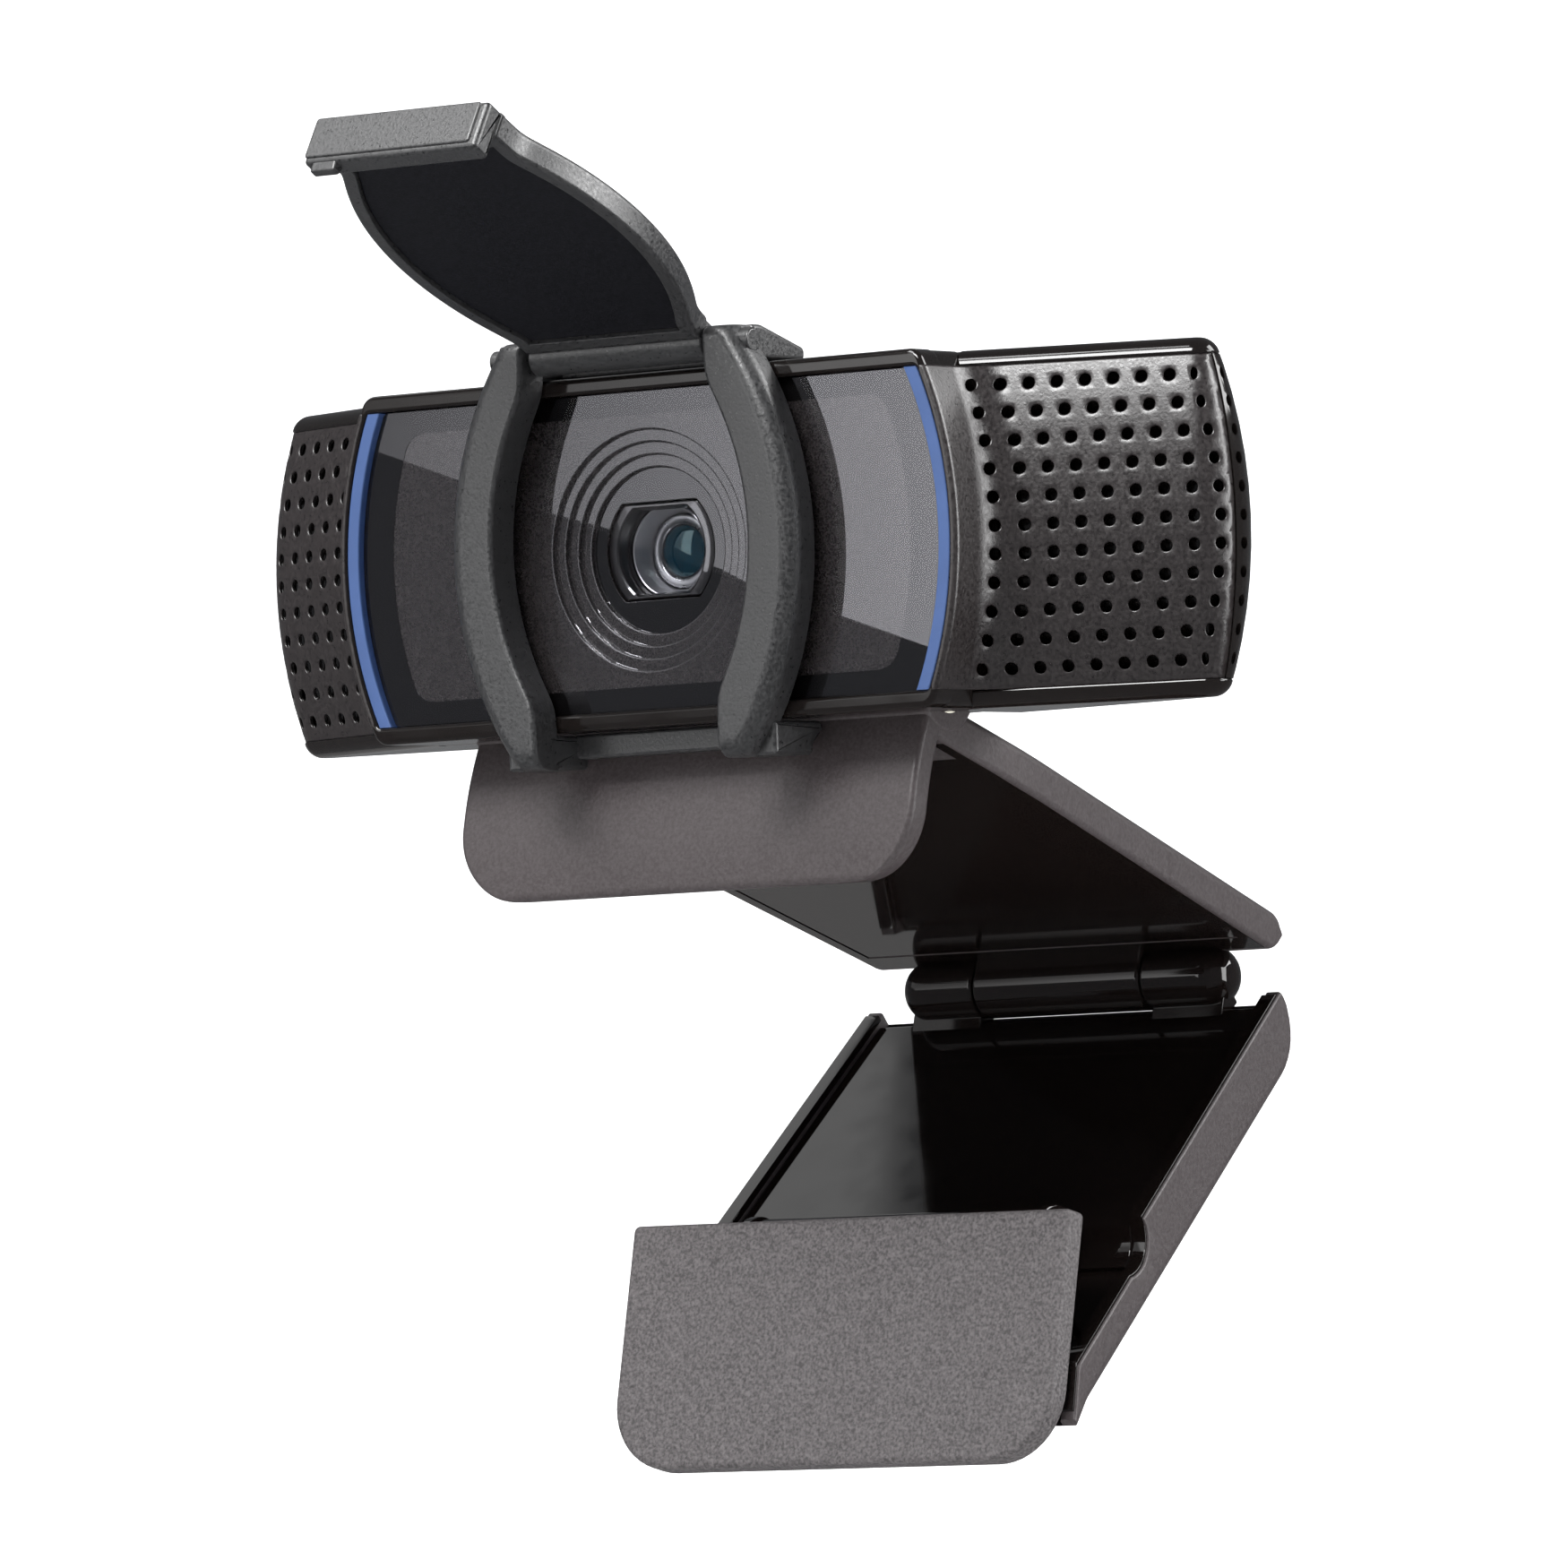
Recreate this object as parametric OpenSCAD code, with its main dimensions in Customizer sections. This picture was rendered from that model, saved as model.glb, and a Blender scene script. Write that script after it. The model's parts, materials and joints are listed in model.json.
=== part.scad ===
// Webcam head with a flip-down privacy shutter, on a fold-out clip for the top edge of a screen.
// Frame: +Z up, -Y towards the person in front of the camera, X across. The origin is the point on
// the underside of the clip's arm that sits on the screen's top edge. All sizes are in millimetres.

/* [Camera head] */
// Height of the head
head_h = 29; // [27:0.5:33]
// Distance from the window's face to the rearmost point of the head
head_back = 23.4; // [22:0.2:27]
// Across position of the grille's first column of holes, on the grille's face
wing_start_x = 31.9; // [31.9:0.1:32.6]
// Set-back of the grille's face at its first column
wing_start_y = 5.13; // [4.6:0.1:5.6]
// Angle at which each grille sweeps back
wing_slope = 20.5; // [17:0.5:23]
// Length of the straight stretch of a grille, from its first column
wing_length = 16.05; // [14.5:0.5:20]
// Radius of the head's ends, seen from above
end_r = 4; // [3.5:0.25:5]
// Radius of the vertical bulge of the grilles, ends and back
bulge_r = 45; // [40:5:90]
// Wall of the rear shell and of the grilles
wall = 1.6; // [1.2:0.1:2]
// Height of the glossy rim above and below each grille
rim_h = 1.4; // [1.2:0.1:1.8]

/* [Grille holes] */
// Diameter of each hole
hole_d = 1.0; // [0.7:0.1:1.2]
// Distance between columns, along the grille's face
column_pitch = 2.35; // [2.2:0.05:2.6]
// Distance between rows
row_pitch = 2.3; // [2.1:0.05:2.4]
// Columns in each grille
columns = 9; // [3:1:9]
// Rows in each grille
rows = 11; // [3:2:11]

/* [Front frame and window] */
// Radius of the frame's bowed sides
frame_side_r = 33.5; // [31:0.5:36]
// Half the width of the frame at mid height
frame_half_w = 31.8; // [31:0.1:32.2]
// How far the rim of the frame stands proud of the window
rim_proud = 0.25; // [0.1:0.05:0.5]
// Depth of the frame's front flange, behind the window's face
flange_y = 2.4; // [2.3:0.1:3]
// Depth of the frame's skirt, behind the window's face
frame_back_y = 6.8; // [5.5:0.1:8]
// Width of the rim outside the light strips
rim_w = 0.76; // [0.5:0.02:1.2]
// Width of each light strip
strip_w = 1.2; // [0.8:0.1:2]
// Thickness of the window
window_t = 0.6; // [0.5:0.05:0.9]
// Thickness of the plate behind the window
plate_t = 1.4; // [1.1:0.1:1.4]

/* [Lens] */
// Radius of the largest step around the lens
step_r = 9.9; // [9:0.1:11]
// Width of each step around the lens
step_w = 1.02; // [0.8:0.02:1.2]
// Depth of each step around the lens
step_d = 0.42; // [0.3:0.02:0.5]
// Radius of the lens bezel
bezel_r = 5.5; // [5:0.1:6]
// Half height of the bezel's flats
bezel_flat = 4; // [3.9:0.1:4.5]
// Depth of the bezel's front behind the window's face
bezel_y = 2.3; // [2.2:0.1:2.6]
// Radius of the bezel's funnel at its back
funnel_r = 3.5; // [3.4:0.1:3.7]
// Radius of the bright ring around the glass
ring_r = 3.07; // [2.6:0.01:3.2]
// Radius of the visible front glass
glass_r = 1.93; // [1.5:0.01:2.1]
// Depth of the bright ring behind the window's face
ring_y = 5.1; // [5:0.1:6]
// Radius of the lens barrel
barrel_r = 3.9; // [3.6:0.1:4.2]
// Length of the lens barrel
barrel_len = 6.6; // [6:0.1:6.8]
// Forward travel of the lens when it focuses
focus_travel = 0.35; // [0.1:0.05:0.4]

/* [Electronics] */
// Width of the circuit board
board_w = 78; // [60:1:82]
// Height of the circuit board
board_h = 14; // [12:0.2:14.2]
// Height of the board's centre above the lens axis
board_up = 2.1; // [1.8:0.1:2.4]
// Thickness of the circuit board
board_t = 1.2; // [0.8:0.1:1.6]
// Depth of the board's front behind the window's face
board_y = 15.4; // [15.2:0.1:15.8]
// Across distance from the middle to the board's screws
board_screw_x = 34; // [30:0.5:36]
// Across distance from the middle to the shell's screws
shell_screw_x = 27.3; // [27.2:0.1:27.5]
// Distance of the shell's screws above and below the lens axis
shell_screw_z = 10.9; // [10.4:0.1:11.1]
// Radius of each small screw's shank
screw_r = 0.8; // [0.6:0.05:0.9]
// Radius of the cable outlet's collar
gland_r = 2.6; // [2.2:0.1:3.2]
// Radius of the cable outlet's passage
gland_bore_r = 1.7; // [1.2:0.1:1.8]
// Height of the cable outlet above the lens axis
gland_z = -7; // [-8:0.5:4]

/* [Privacy shutter] */
// Depth of the shutter's side bars in front of the window's face
bar_front = 3.6; // [3.2:0.1:4.5]
// Half the gap between the bars at their middle
gap_half_mid = 13.1; // [12:0.1:14]
// Half the gap between the bars at their ends
gap_half_end = 9.3; // [8.5:0.1:10]
// Height of the bowed stretch of the gap
gap_bow_h = 25.6; // [22:0.2:27]
// Half the width across the bars at their middle
bars_half_w = 17.8; // [17:0.1:19]
// Radius of the bars' outer edges
bars_side_r = 28.5; // [26:0.5:32]
// Radius that rounds the bars' outer front edges
bar_round = 1.6; // [0.8:0.1:2]
// Thickness of the hooks above and below the head
hook_t = 2.9; // [2.4:0.1:3.2]
// Depth that the lower hooks reach behind the window's face
hook_reach = 5; // [4:0.1:5.2]
// Depth that the upper ears reach behind the window's face
ear_reach = 5.4; // [4:0.1:6.5]
// Distance of the flap's pivot in front of the window's face
flap_pivot_fwd = 1.6; // [1.5:0.05:1.8]
// Height of the flap's pivot above the head's top face
flap_pivot_up = 1.7; // [1.65:0.05:1.75]
// Radius of the flap's root barrel
flap_root_r = 1.45; // [1.3:0.05:1.5]
// Radius of the flap's pin
flap_pin_r = 0.7; // [0.5:0.05:0.8]
// Length of the flap from its pivot to the tab's outer face
flap_len = 33.5; // [32.6:0.1:33.6]
// Thickness of the flap in front of its pivot
flap_front = 1.8; // [1.6:0.05:1.95]
// Thickness of the flap behind its pivot
flap_rear = 0.5; // [0.3:0.05:0.7]
// Width of the rim around the flap's lining
flap_rim = 1.3; // [0.8:0.1:2]
// Half the width of the flap's tab
tab_half_w = 8.8; // [7:0.1:8.9]
// Depth of the tab behind the flap's pivot
tab_reach = 2.6; // [2.2:0.1:2.8]
// Thickness of the tab along the flap
tab_t = 2.1; // [1.6:0.1:2.1]
// Angle from the open flap to the closed one
flap_swing = 120.8; // [100:0.2:125]

/* [Tilt hinge] */
// Distance of the lens axis's window point in front of the seat
lens_ahead = 20; // [18:0.5:22]
// Height of the lens axis above the seat
lens_above = 20.85; // [20.8:0.05:21.4]
// Depth of the tilt axis behind the window's face
tilt_y = 9.4; // [9.2:0.1:9.6]
// Distance of the tilt axis below the lens axis
tilt_drop = 12.4; // [12.3:0.05:12.5]
// Radius of the clip's tilt barrel
tilt_r = 3.7; // [3.6:0.1:3.8]
// Free space around the tilt barrel
tilt_gap = 0.9; // [0.8:0.05:1]
// Radius of the tilt pin
tilt_pin_r = 1.25; // [1:0.05:1.5]
// Radius of the friction bushes
bush_r = 2.2; // [1.9:0.1:2.4]
// Length of each friction bush
bush_len = 4.2; // [3:0.1:6]
// Farthest that the head tips upwards
tip_up = 15; // [5:1:15]

/* [Clip arm and lip] */
// Half the width of the lip
clip_half_w = 23.3; // [22:0.1:23.6]
// Half the width of the arm at its rear end
arm_half_w_rear = 20.6; // [20:0.1:23]
// Downward slope of the arm, towards the back
arm_slope = 19.2; // [19:0.1:21]
// Thickness of the arm
arm_t = 3.3; // [3.2:0.1:3.4]
// Distance from the seat to the arm's rear end
arm_back = 41; // [39:0.5:44]
// Radius of the lip's front face, seen from the side
lip_front_r = 29.3; // [28.9:0.1:29.6]
// Thickness of the lip
lip_t = 2.3; // [2:0.1:2.4]
// Distance of the lip's centre of curvature behind the seat
lip_centre_y = 12.55; // [12.4:0.05:12.7]
// Distance of the lip's lower edge below the seat
lip_drop = 7.2; // [5:0.2:9]
// Radius of the lip's lower corners
lip_corner_r = 6; // [3:0.5:8]
// Thickness of the panel under the arm
arm_panel_t = 1.3; // [0.9:0.1:1.6]
// Width of the rail on each side of the panel
arm_rail = 1.5; // [1:0.1:2.5]

/* [Leg] */
// Distance from the seat to the leg's hinge, along the arm
hinge_back = 40.2; // [38:0.2:43]
// Distance of the leg's hinge below the arm's underside
hinge_drop = 2; // [1.4:0.1:2.2]
// Radius of the hinge's knuckles
knuckle_r = 2.6; // [2.3:0.1:2.9]
// Half the width of the arm's middle knuckle
mid_knuckle_half = 8.7; // [6:0.1:11]
// Half the width of the whole hinge
hinge_half_w = 16.8; // [14:0.2:18]
// Radius of the hinge pin
hinge_pin_r = 1.1; // [0.8:0.05:1.3]
// Downward slope of the leg, towards the front
leg_slope = 39.6; // [36:0.2:44]
// Half the width of the leg at the hinge
leg_half_w = 21.6; // [21.2:0.1:22]
// Half the width of the leg at its lower end
leg_half_w_end = 23.2; // [22.8:0.1:24]
// Length of the leg from the hinge to its lower end
leg_len = 49.6; // [48:0.2:50.4]
// Distance of the leg's upper end from the hinge
leg_start = 1.1; // [1:0.05:1.4]
// Distance of the rails' edge beyond the hinge's axis
rail_edge = 0.95; // [0.7:0.05:1.1]
// Distance of the leg's outer face beyond the hinge's axis
leg_outer = 6.9; // [6.6:0.1:7.4]
// Radius of the leg's outer edge at its upper end
leg_round = 4.4; // [2:0.1:4.6]
// Wall of the leg's cover
leg_wall = 1.1; // [0.9:0.1:1.4]
// Set-back of the glossy panel behind the rails' edge
panel_inset = 0.85; // [0.5:0.05:1.2]
// Thickness of the leg's glossy panel
leg_panel_t = 1.4; // [1.1:0.1:1.6]
// Set-back of the rails beyond the foot's axle
rail_step = 2.3; // [2:0.05:2.5]
// Width of each rail of the leg
leg_rail = 1.55; // [1.3:0.05:2]
// Radius of the tripod thread's bore
tripod_r = 2.55; // [1.5:0.05:3]
// Outer radius of the tripod insert
insert_r = 4.2; // [4:0.1:5]
// Distance of the tripod insert from the hinge
insert_along = 18; // [12:0.5:22]

/* [Foot] */
// Distance of the foot's axle from the hinge, along the leg
foot_along = 33.4; // [33:0.1:34]
// Distance of the foot's axle beyond the hinge's axis
foot_out = 0.5; // [0.3:0.05:0.6]
// Radius of the trough that the foot's barrel turns in
trough_r = 3.2; // [3.1:0.05:3.3]
// Radius of the foot's barrel
foot_barrel_r = 2.7; // [2.3:0.05:2.75]
// Half the width of the foot's barrel
foot_barrel_half = 14.5; // [12:0.1:20]
// Radius of the foot's axle
foot_pin_r = 1.0; // [0.8:0.05:1.2]
// Forward lean of the foot
foot_lean = 13.2; // [12:0.2:14]
// Distance of the pad's face in front of the axle
pad_ahead = 8; // [7.6:0.05:8.4]
// Half the width of the pad
pad_half_w = 22.6; // [20:0.1:23]
// Height of the pad
pad_h = 20.95; // [19:0.05:21.5]
// Height of the pad's top edge above the axle
pad_top = 0.8; // [0.4:0.1:1.6]
// Thickness of the pad
pad_t = 2.2; // [1.6:0.1:2.3]
// Thickness of the foot's backing plate
backing_t = 1.5; // [1:0.1:1.5]
// Radius of the pad's lower corners
pad_corner_r = 6; // [3:0.5:8]
// Half the width of the foot's backing plate
backing_half_w = 20.3; // [16:0.1:20.5]

/* [Fits] */
// Radial clearance of a pin that turns in a bore
running = 0.05; // [0.02:0.01:0.09]
// Gap between a moving piece and its neighbour
gap = 0.2; // [0.15:0.05:0.3]

/* [Hidden] */
$fn = 64;
far = 60;                                       // longer than any piece is wide
curved_gap = 0.35;                              // free space around a piece that turns in a hollow

// Head, seen from above: the grille's line, the end's centre and the rear curve
wing_out = [sin(wing_slope), -cos(wing_slope)];
wing_along = [cos(wing_slope), sin(wing_slope)];
wing_start = [wing_start_x, wing_start_y];
end_centre = wing_start + wing_along * wing_length - wing_out * end_r;
rear_gap = head_back - end_centre[1];
rear_r = (pow(end_centre[0], 2) + pow(rear_gap, 2) - pow(end_r, 2)) / (2 * (rear_gap - end_r));
rear_turn = atan2(end_centre[1] - head_back + rear_r, end_centre[0]);
rear_out = [cos(rear_turn), sin(rear_turn)];
grille_h = head_h - 2 * rim_h;
end_turn = 60;                                  // degrees of the end that the grille covers
seam_y = end_centre[1] - end_r * cos(wing_slope + end_turn);
end_proud = 0.05;
edge_turn = end_turn + 14;                      // degrees to the last column, on the rear shell
grille_x = frame_half_w - 4;                    // the grilles' inner edge lies under the frame

// Front frame
frame_centre_x = frame_half_w - frame_side_r;
skirt_r = frame_side_r - 0.75;
strip_r = frame_side_r - rim_w;
window_r = strip_r - strip_w;
pane_h = grille_h - 0.1;
plate_back = window_t + plate_t;
ledge_w = 2.7;                                  // shelf inside the frame that carries the plate
ledge_t = 1.4;
ledge_back = plate_back + ledge_t;
skirt_wall = 1.4;

// Lens
steps = 4;
hub_r = step_r + 1.6;
hub_t = 1.3;                                    // floor of the stepped disc
hub_back = window_t + steps * step_d + hub_t;
flange_r = bezel_r + 0.6;
bezel_back = ring_y + 1.5;
barrel_front = ring_y + 0.5;
coil_r = barrel_r + 0.45;
housing_bore = coil_r + 0.3;
housing_w = 2 * housing_bore + 2.9;
barrel_back = barrel_front + barrel_len;
filter_w = 8;
filter_t = 0.4;
filter_y = barrel_back + 1.1;
aperture_w = 5.6;
sensor_w = 7;
sensor_t = 1;

// Screws
screw_head_r = 1.5;
screw_head_t = 0.9;
post_r = screw_r + 0.8;
board_screw_reach = 2.2;                        // into the rear shell, past the board
shell_seat_y = 19;                              // where the shell screws' heads bear
shell_seat_t = 1.1;
shell_screw_front = 8;                          // where the shell screws end, in the frame's posts

// Cable outlet
gland_flange_r = gland_r + 0.8;
gland_flange_t = 1.1;
gland_flange_y = head_back - wall - 1.3;
gland_proud = 1.2;

// Shutter
bow_rise = gap_half_mid - gap_half_end;
bow_r = (pow(gap_bow_h / 2, 2) + pow(bow_rise, 2)) / (2 * bow_rise);
bow_mid_z = 0.5;
bar_back = 0.4;                                 // gap between the bars and the window's face
flap_gap = 0.35;                                // free space between the flap and the bars
flap_at = [0, -flap_pivot_fwd, head_h / 2 + flap_pivot_up];
seat_gap = 0.06;                                // between the front frame and what it sits in
clip_gap = 0.15;                                // between the head and the shutter's hooks
ear_half_w = gap_half_end + 3.9;
hook_half_w = gap_half_end + 4.5;
shutter_top = head_h / 2 + clip_gap + hook_t;
sill_front = 2.1;                               // front of the cross pieces between the hooks
sill_back = 4.2;
sill_lift = 0.9;                                // from the hooks' lowest line to the lower cross piece
bar_foot_round = 1.5;
flap_tail = flap_len - tab_t;
lining_t = 0.7;
lining_inset = 0.4;

// What the circuit board carries: places from its middle, widths, heights and thicknesses
chip_t = 1.1;
thin_chip_t = 0.9;
tall_chip_t = 1.4;
processor_x = 16;
processor_w = 9;
memory_x = 26.5;
memory_z = 0.6;
memory_w = 6;
memory_h = 5;
power_x = 15.5;
power_z = 1.5;
power_w = 7;
coil_z = 4.8;
coil_w = 4;
coil_h = 1.4;
codec_x = 25.5;
codec_w = 5;
codec_h = 8;
plug_w = 10;
plug_h = 4;
plug_t = 1.6;
mic_in = 2.6;                                   // from the board's end to each microphone's middle
mic_w = 3.8;
mic_h = 3;

// Tilt hinge and clip
lens_at = [0, -lens_ahead, lens_above];
tilt_at = [0, tilt_y, -tilt_drop];
axis_up = (tilt_y - lens_ahead) * sin(arm_slope) + (lens_above - tilt_drop) * cos(arm_slope);
relief_drop = axis_up - arm_t - gap;            // from the tilt axis to the flat under the head
tilt_half_w = clip_half_w + 0.1;
bay_r = tilt_r + tilt_gap;
bay_wall = 1.2;
bay_half_w = clip_half_w + 0.4;
relief_half_w = bay_half_w + 0.2;
bay_cheek = 1.6;
pin_seat = 1.2;                                 // depth of each of the tilt pin's seats
lip_at = [lip_centre_y, -lip_drop];
arm_half_w = clip_half_w - 0.1;
arm_front = -13.5;                              // where the arm runs into the lip
arm_panel_front = -8;
arm_panel_back = hinge_back - knuckle_r - 1;

// Leg and foot
knuckle_gap = 0.15;                             // between neighbouring knuckles, along the pin
foot_at = [0, foot_along, foot_out];
foot_tilt = 90 - leg_slope - foot_lean;         // between the leg and the foot's pad
foot_turn = 180 + leg_slope;
panel_face = rail_edge + panel_inset;
low_edge = rail_edge + rail_step;
low_face = low_edge + panel_inset;
panel_back = panel_face + leg_panel_t;
panel_start = knuckle_r + 0.4;
rest_gap = 0.4;                                 // between the foot at rest and the leg's end
sleeve_r = trough_r + leg_panel_t;
cheek_in = foot_barrel_half + 0.2;
cheek_half = cheek_in + 1.1;
neck_half_w = foot_barrel_half - 0.3;           // of the web between the foot's barrel and its plate
insert_in = panel_back + 0.2;
leg_post_r = 2.4;
leg_screw_seat = leg_outer - 1.7;
leg_screw_x = 15;
leg_screw_u = [8, 26];
pad_back = pad_t - pad_ahead;
backing_back = pad_back + backing_t;
pad_top_r = 1.2;

// ---- Helpers -------------------------------------------------------------------------------

// Extrudes a side outline (depth, height) to the given width across X
module across(w) rotate([90, 0, 90]) linear_extrude(w, center = true) children();

// Extrudes a front outline (across, height) from depth y0 to depth y1
module facing(y0, y1) translate([0, y1, 0]) rotate([90, 0, 0]) linear_extrude(y1 - y0) children();

// A rod along X, centred
module rod(r, w) rotate([0, 90, 0]) cylinder(r = r, h = w, center = true);

// A rod along Y, from depth y0 to depth y1
module stem(r, y0, y1) translate([0, y1, 0]) rotate([90, 0, 0]) cylinder(r = r, h = y1 - y0);

// A rod along Z, from z0 to z1
module post(r, z0, z1) translate([0, 0, z0]) cylinder(r = r, h = z1 - z0);

module both_sides() {
    children();
    mirror([1, 0, 0]) children();
}

module at_head() translate(lens_at) children();
module at_arm() rotate([-arm_slope, 0, 0]) children();
module at_hinge() at_arm() translate([0, hinge_back, -hinge_drop]) rotate([arm_slope, 0, 0]) children();
module at_leg() at_hinge() rotate([foot_turn, 0, 0]) children();
module at_foot() at_leg() translate(foot_at) rotate([-foot_turn - foot_lean, 0, 0]) children();
module at_flap() at_head() translate(flap_at) rotate([-flap_swing, 0, 0]) children();

// ---- Camera head ---------------------------------------------------------------------------

// The round end of the head, inset by t: it stands a hair proud of the faces it blends
module head_end(t) translate([end_centre[0], end_centre[1], 0]) rotate_extrude() intersection() {
    translate([end_r + end_proud - bulge_r, 0]) rotate(180) circle(bulge_r - t, $fn = 120);
    translate([0, -head_h]) square([head_h, 2 * head_h]);
}

// Everything behind one wing's bowed front, inset by t
module wing_front(t) translate([wing_start[0] - bulge_r * wing_out[0], wing_start[1] - bulge_r * wing_out[1], 0])
    rotate([0, 0, wing_slope]) rotate([0, 90, 0])
        cylinder(r = bulge_r - t, h = 6 * far, center = true, $fn = 120);

// The head's outer form, inset by t
module head_form(t) intersection() {
    union() {
        both_sides() head_end(t);
        intersection() {
            linear_extrude(2 * head_h, center = true) polygon([
                end_centre + far * wing_out,
                end_centre,
                end_centre + far * rear_out,
                [-end_centre[0] - far * rear_out[0], end_centre[1] + far * rear_out[1]],
                [-end_centre[0], end_centre[1]],
                [-end_centre[0] - far * wing_out[0], end_centre[1] + far * wing_out[1]]]);
            wing_front(t);
            mirror([1, 0, 0]) wing_front(t);
            translate([0, head_back - rear_r, 0]) rotate_extrude($fn = 240)
                translate([rear_r - bulge_r, 0]) circle(bulge_r - t, $fn = 120);
        }
    }
    cube([6 * far, 6 * far, head_h - 2 * t], center = true);
}

// Front outline of the frame: bowed sides of radius r, height h
module bowed(r, h) intersection() {
    translate([frame_centre_x, 0]) circle(r, $fn = 120);
    translate([-frame_centre_x, 0]) circle(r, $fn = 120);
    square([4 * far, h], center = true);
}

// The space that the front frame takes
module frame_space() {
    facing(-far, flange_y + seat_gap) bowed(frame_side_r + seat_gap, head_h + 1);
    facing(-far, frame_back_y) bowed(skirt_r + seat_gap, head_h + 1);
}

module at_tilt() translate(tilt_at) children();

module at_shell_screws() for (x = [-1, 1], z = [-1, 1])
    translate([x * shell_screw_x, 0, z * shell_screw_z]) children();

module at_board_screws() for (x = [-1, 1], z = [-1, 1])
    translate([x * board_screw_x, 0, board_up + z * (board_h / 2 - 2.2)]) children();

// Places a hole on the grille, at a distance s along its face and a height z
module at_grille(s, z) {
    turn = (s - wing_length) / end_r * 180 / PI;
    if (turn < 0) translate([wing_start[0] + s * wing_along[0], wing_start[1] + s * wing_along[1], z])
        rotate([0, 0, wing_slope]) children();
    else translate([end_centre[0], end_centre[1], z]) rotate([0, 0, wing_slope + turn])
        translate([0, -end_r, 0]) children();
}

module grille_hole() rotate([90, 0, 0]) cylinder(d = hole_d, h = 2 * wall + 3.4, center = true, $fn = 24);

function row_z(r) = (r - (rows - 1) / 2) * row_pitch;

// One wing and its round end, inset by t
module wing_form(t) {
    head_end(t);
    intersection() {
        wing_front(t);
        translate([end_centre[0], end_centre[1], -far]) rotate([0, 0, wing_slope]) translate([-far, -far, 0])
            cube([far, 2 * far, 2 * far]);
    }
}

module grille() difference() {
    intersection() {
        wing_form(0);
        translate([grille_x, -far, -grille_h / 2]) cube([far, far + seam_y, grille_h]);
    }
    wing_form(wall);
    frame_space();
    facing(-far, far) bowed(skirt_r + seat_gap, head_h + 1);
    for (c = [0:columns - 1], r = [0:rows - 1])
        at_grille(c * column_pitch - pow(row_z(r), 2) / (2 * frame_side_r), row_z(r)) grille_hole();
}

module left_grille() color("#3a3636") at_head() mirror([1, 0, 0]) grille();

module right_grille() color("#3a3636") at_head() grille();

module rear_shell() color("#1c1a1a") at_head() difference() {
    union() {
        difference() {
            head_form(0);
            head_form(wall);
            frame_space();
            both_sides() translate([grille_x, -far, -grille_h / 2]) cube([far, far + seam_y, grille_h]);
        }
        intersection() {
            head_form(0);
            union() {
                at_tilt() rod(bay_r + bay_wall, 2 * (bay_half_w + bay_cheek));
                at_shell_screws() stem(screw_head_r + 1, shell_seat_y - shell_seat_t, far);
                at_board_screws() stem(post_r, board_y + board_t, far);
            }
        }
    }
    at_tilt() rod(bay_r, 2 * bay_half_w);
    at_tilt() rod(tilt_pin_r, 2 * (bay_half_w + pin_seat));
    at_tilt() rotate([tip_up - arm_slope, 0, 0]) translate([-relief_half_w, 0, -far - relief_drop])
        cube([2 * relief_half_w, far, far]);
    at_shell_screws() stem(screw_r, 0, far);
    at_shell_screws() stem(screw_head_r, shell_seat_y, far);
    at_board_screws() stem(screw_r, 0, board_y + board_t + board_screw_reach);
    translate([0, 0, gland_z]) stem(gland_r, board_y + board_t, far);
    both_sides() for (r = [0:rows - 1]) at_grille(wing_length + edge_turn / 180 * PI * end_r, row_z(r))
        grille_hole();
}

module front_frame() color("#141213") at_head() difference() {
    union() {
        facing(-rim_proud, flange_y) bowed(frame_side_r, head_h);
        facing(flange_y - 0.1, frame_back_y) bowed(skirt_r, head_h);
        at_shell_screws() stem(post_r, plate_back, shell_seat_y - shell_seat_t);
    }
    facing(-far, plate_back) bowed(strip_r, pane_h);
    difference() {
        union() {
            facing(-far, far) bowed(strip_r - ledge_w, pane_h - 2 * ledge_w);
            facing(ledge_back, far) bowed(skirt_r - skirt_wall, head_h - 2 * wall);
        }
        at_shell_screws() stem(post_r, plate_back, far);
    }
    at_tilt() rod(bay_r + bay_wall, 2 * (bay_half_w + bay_cheek));
    at_shell_screws() stem(screw_r, shell_screw_front, far);
}

module front_window() color("#0b0b0e") at_head() facing(0, window_t) bowed(window_r, pane_h);

module light_strip() intersection() {
    facing(-0.1, plate_back) difference() {
        bowed(strip_r, pane_h);
        bowed(window_r, head_h);
    }
    translate([0, -far, -far]) cube(2 * far);
}

module left_light_strip() color("#4a6bb5") at_head() mirror([1, 0, 0]) light_strip();

module right_light_strip() color("#4a6bb5") at_head() light_strip();

module bezel_outline() intersection() {
    circle(bezel_r);
    square([2 * far, 2 * bezel_flat], center = true);
}

module lens_surround() color("#2b2829") at_head() difference() {
    union() {
        facing(window_t, plate_back) bowed(window_r, pane_h);
        facing(window_t, hub_back) intersection() {
            circle(hub_r);
            square([4 * hub_r, pane_h - 2 * ledge_w - 2 * clip_gap], center = true);
        }
    }
    for (k = [1:steps]) stem(step_r - (k - 1) * step_w, 0, window_t + k * step_d);
    facing(0, far) bezel_outline();
}

module lens_bezel() color("#111112") at_head() difference() {
    union() {
        facing(bezel_y, hub_back) bezel_outline();
        stem(flange_r, hub_back, bezel_back);
    }
    rotate([90, 0, 0]) rotate_extrude() polygon([
        [0, -far], [funnel_r, -far], [funnel_r, -ring_y], [bezel_flat - 0.2, -bezel_y],
        [bezel_flat - 0.2, 0], [0, 0]]);
    stem(barrel_r + curved_gap, barrel_front - focus_travel - curved_gap, far);
}

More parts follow.
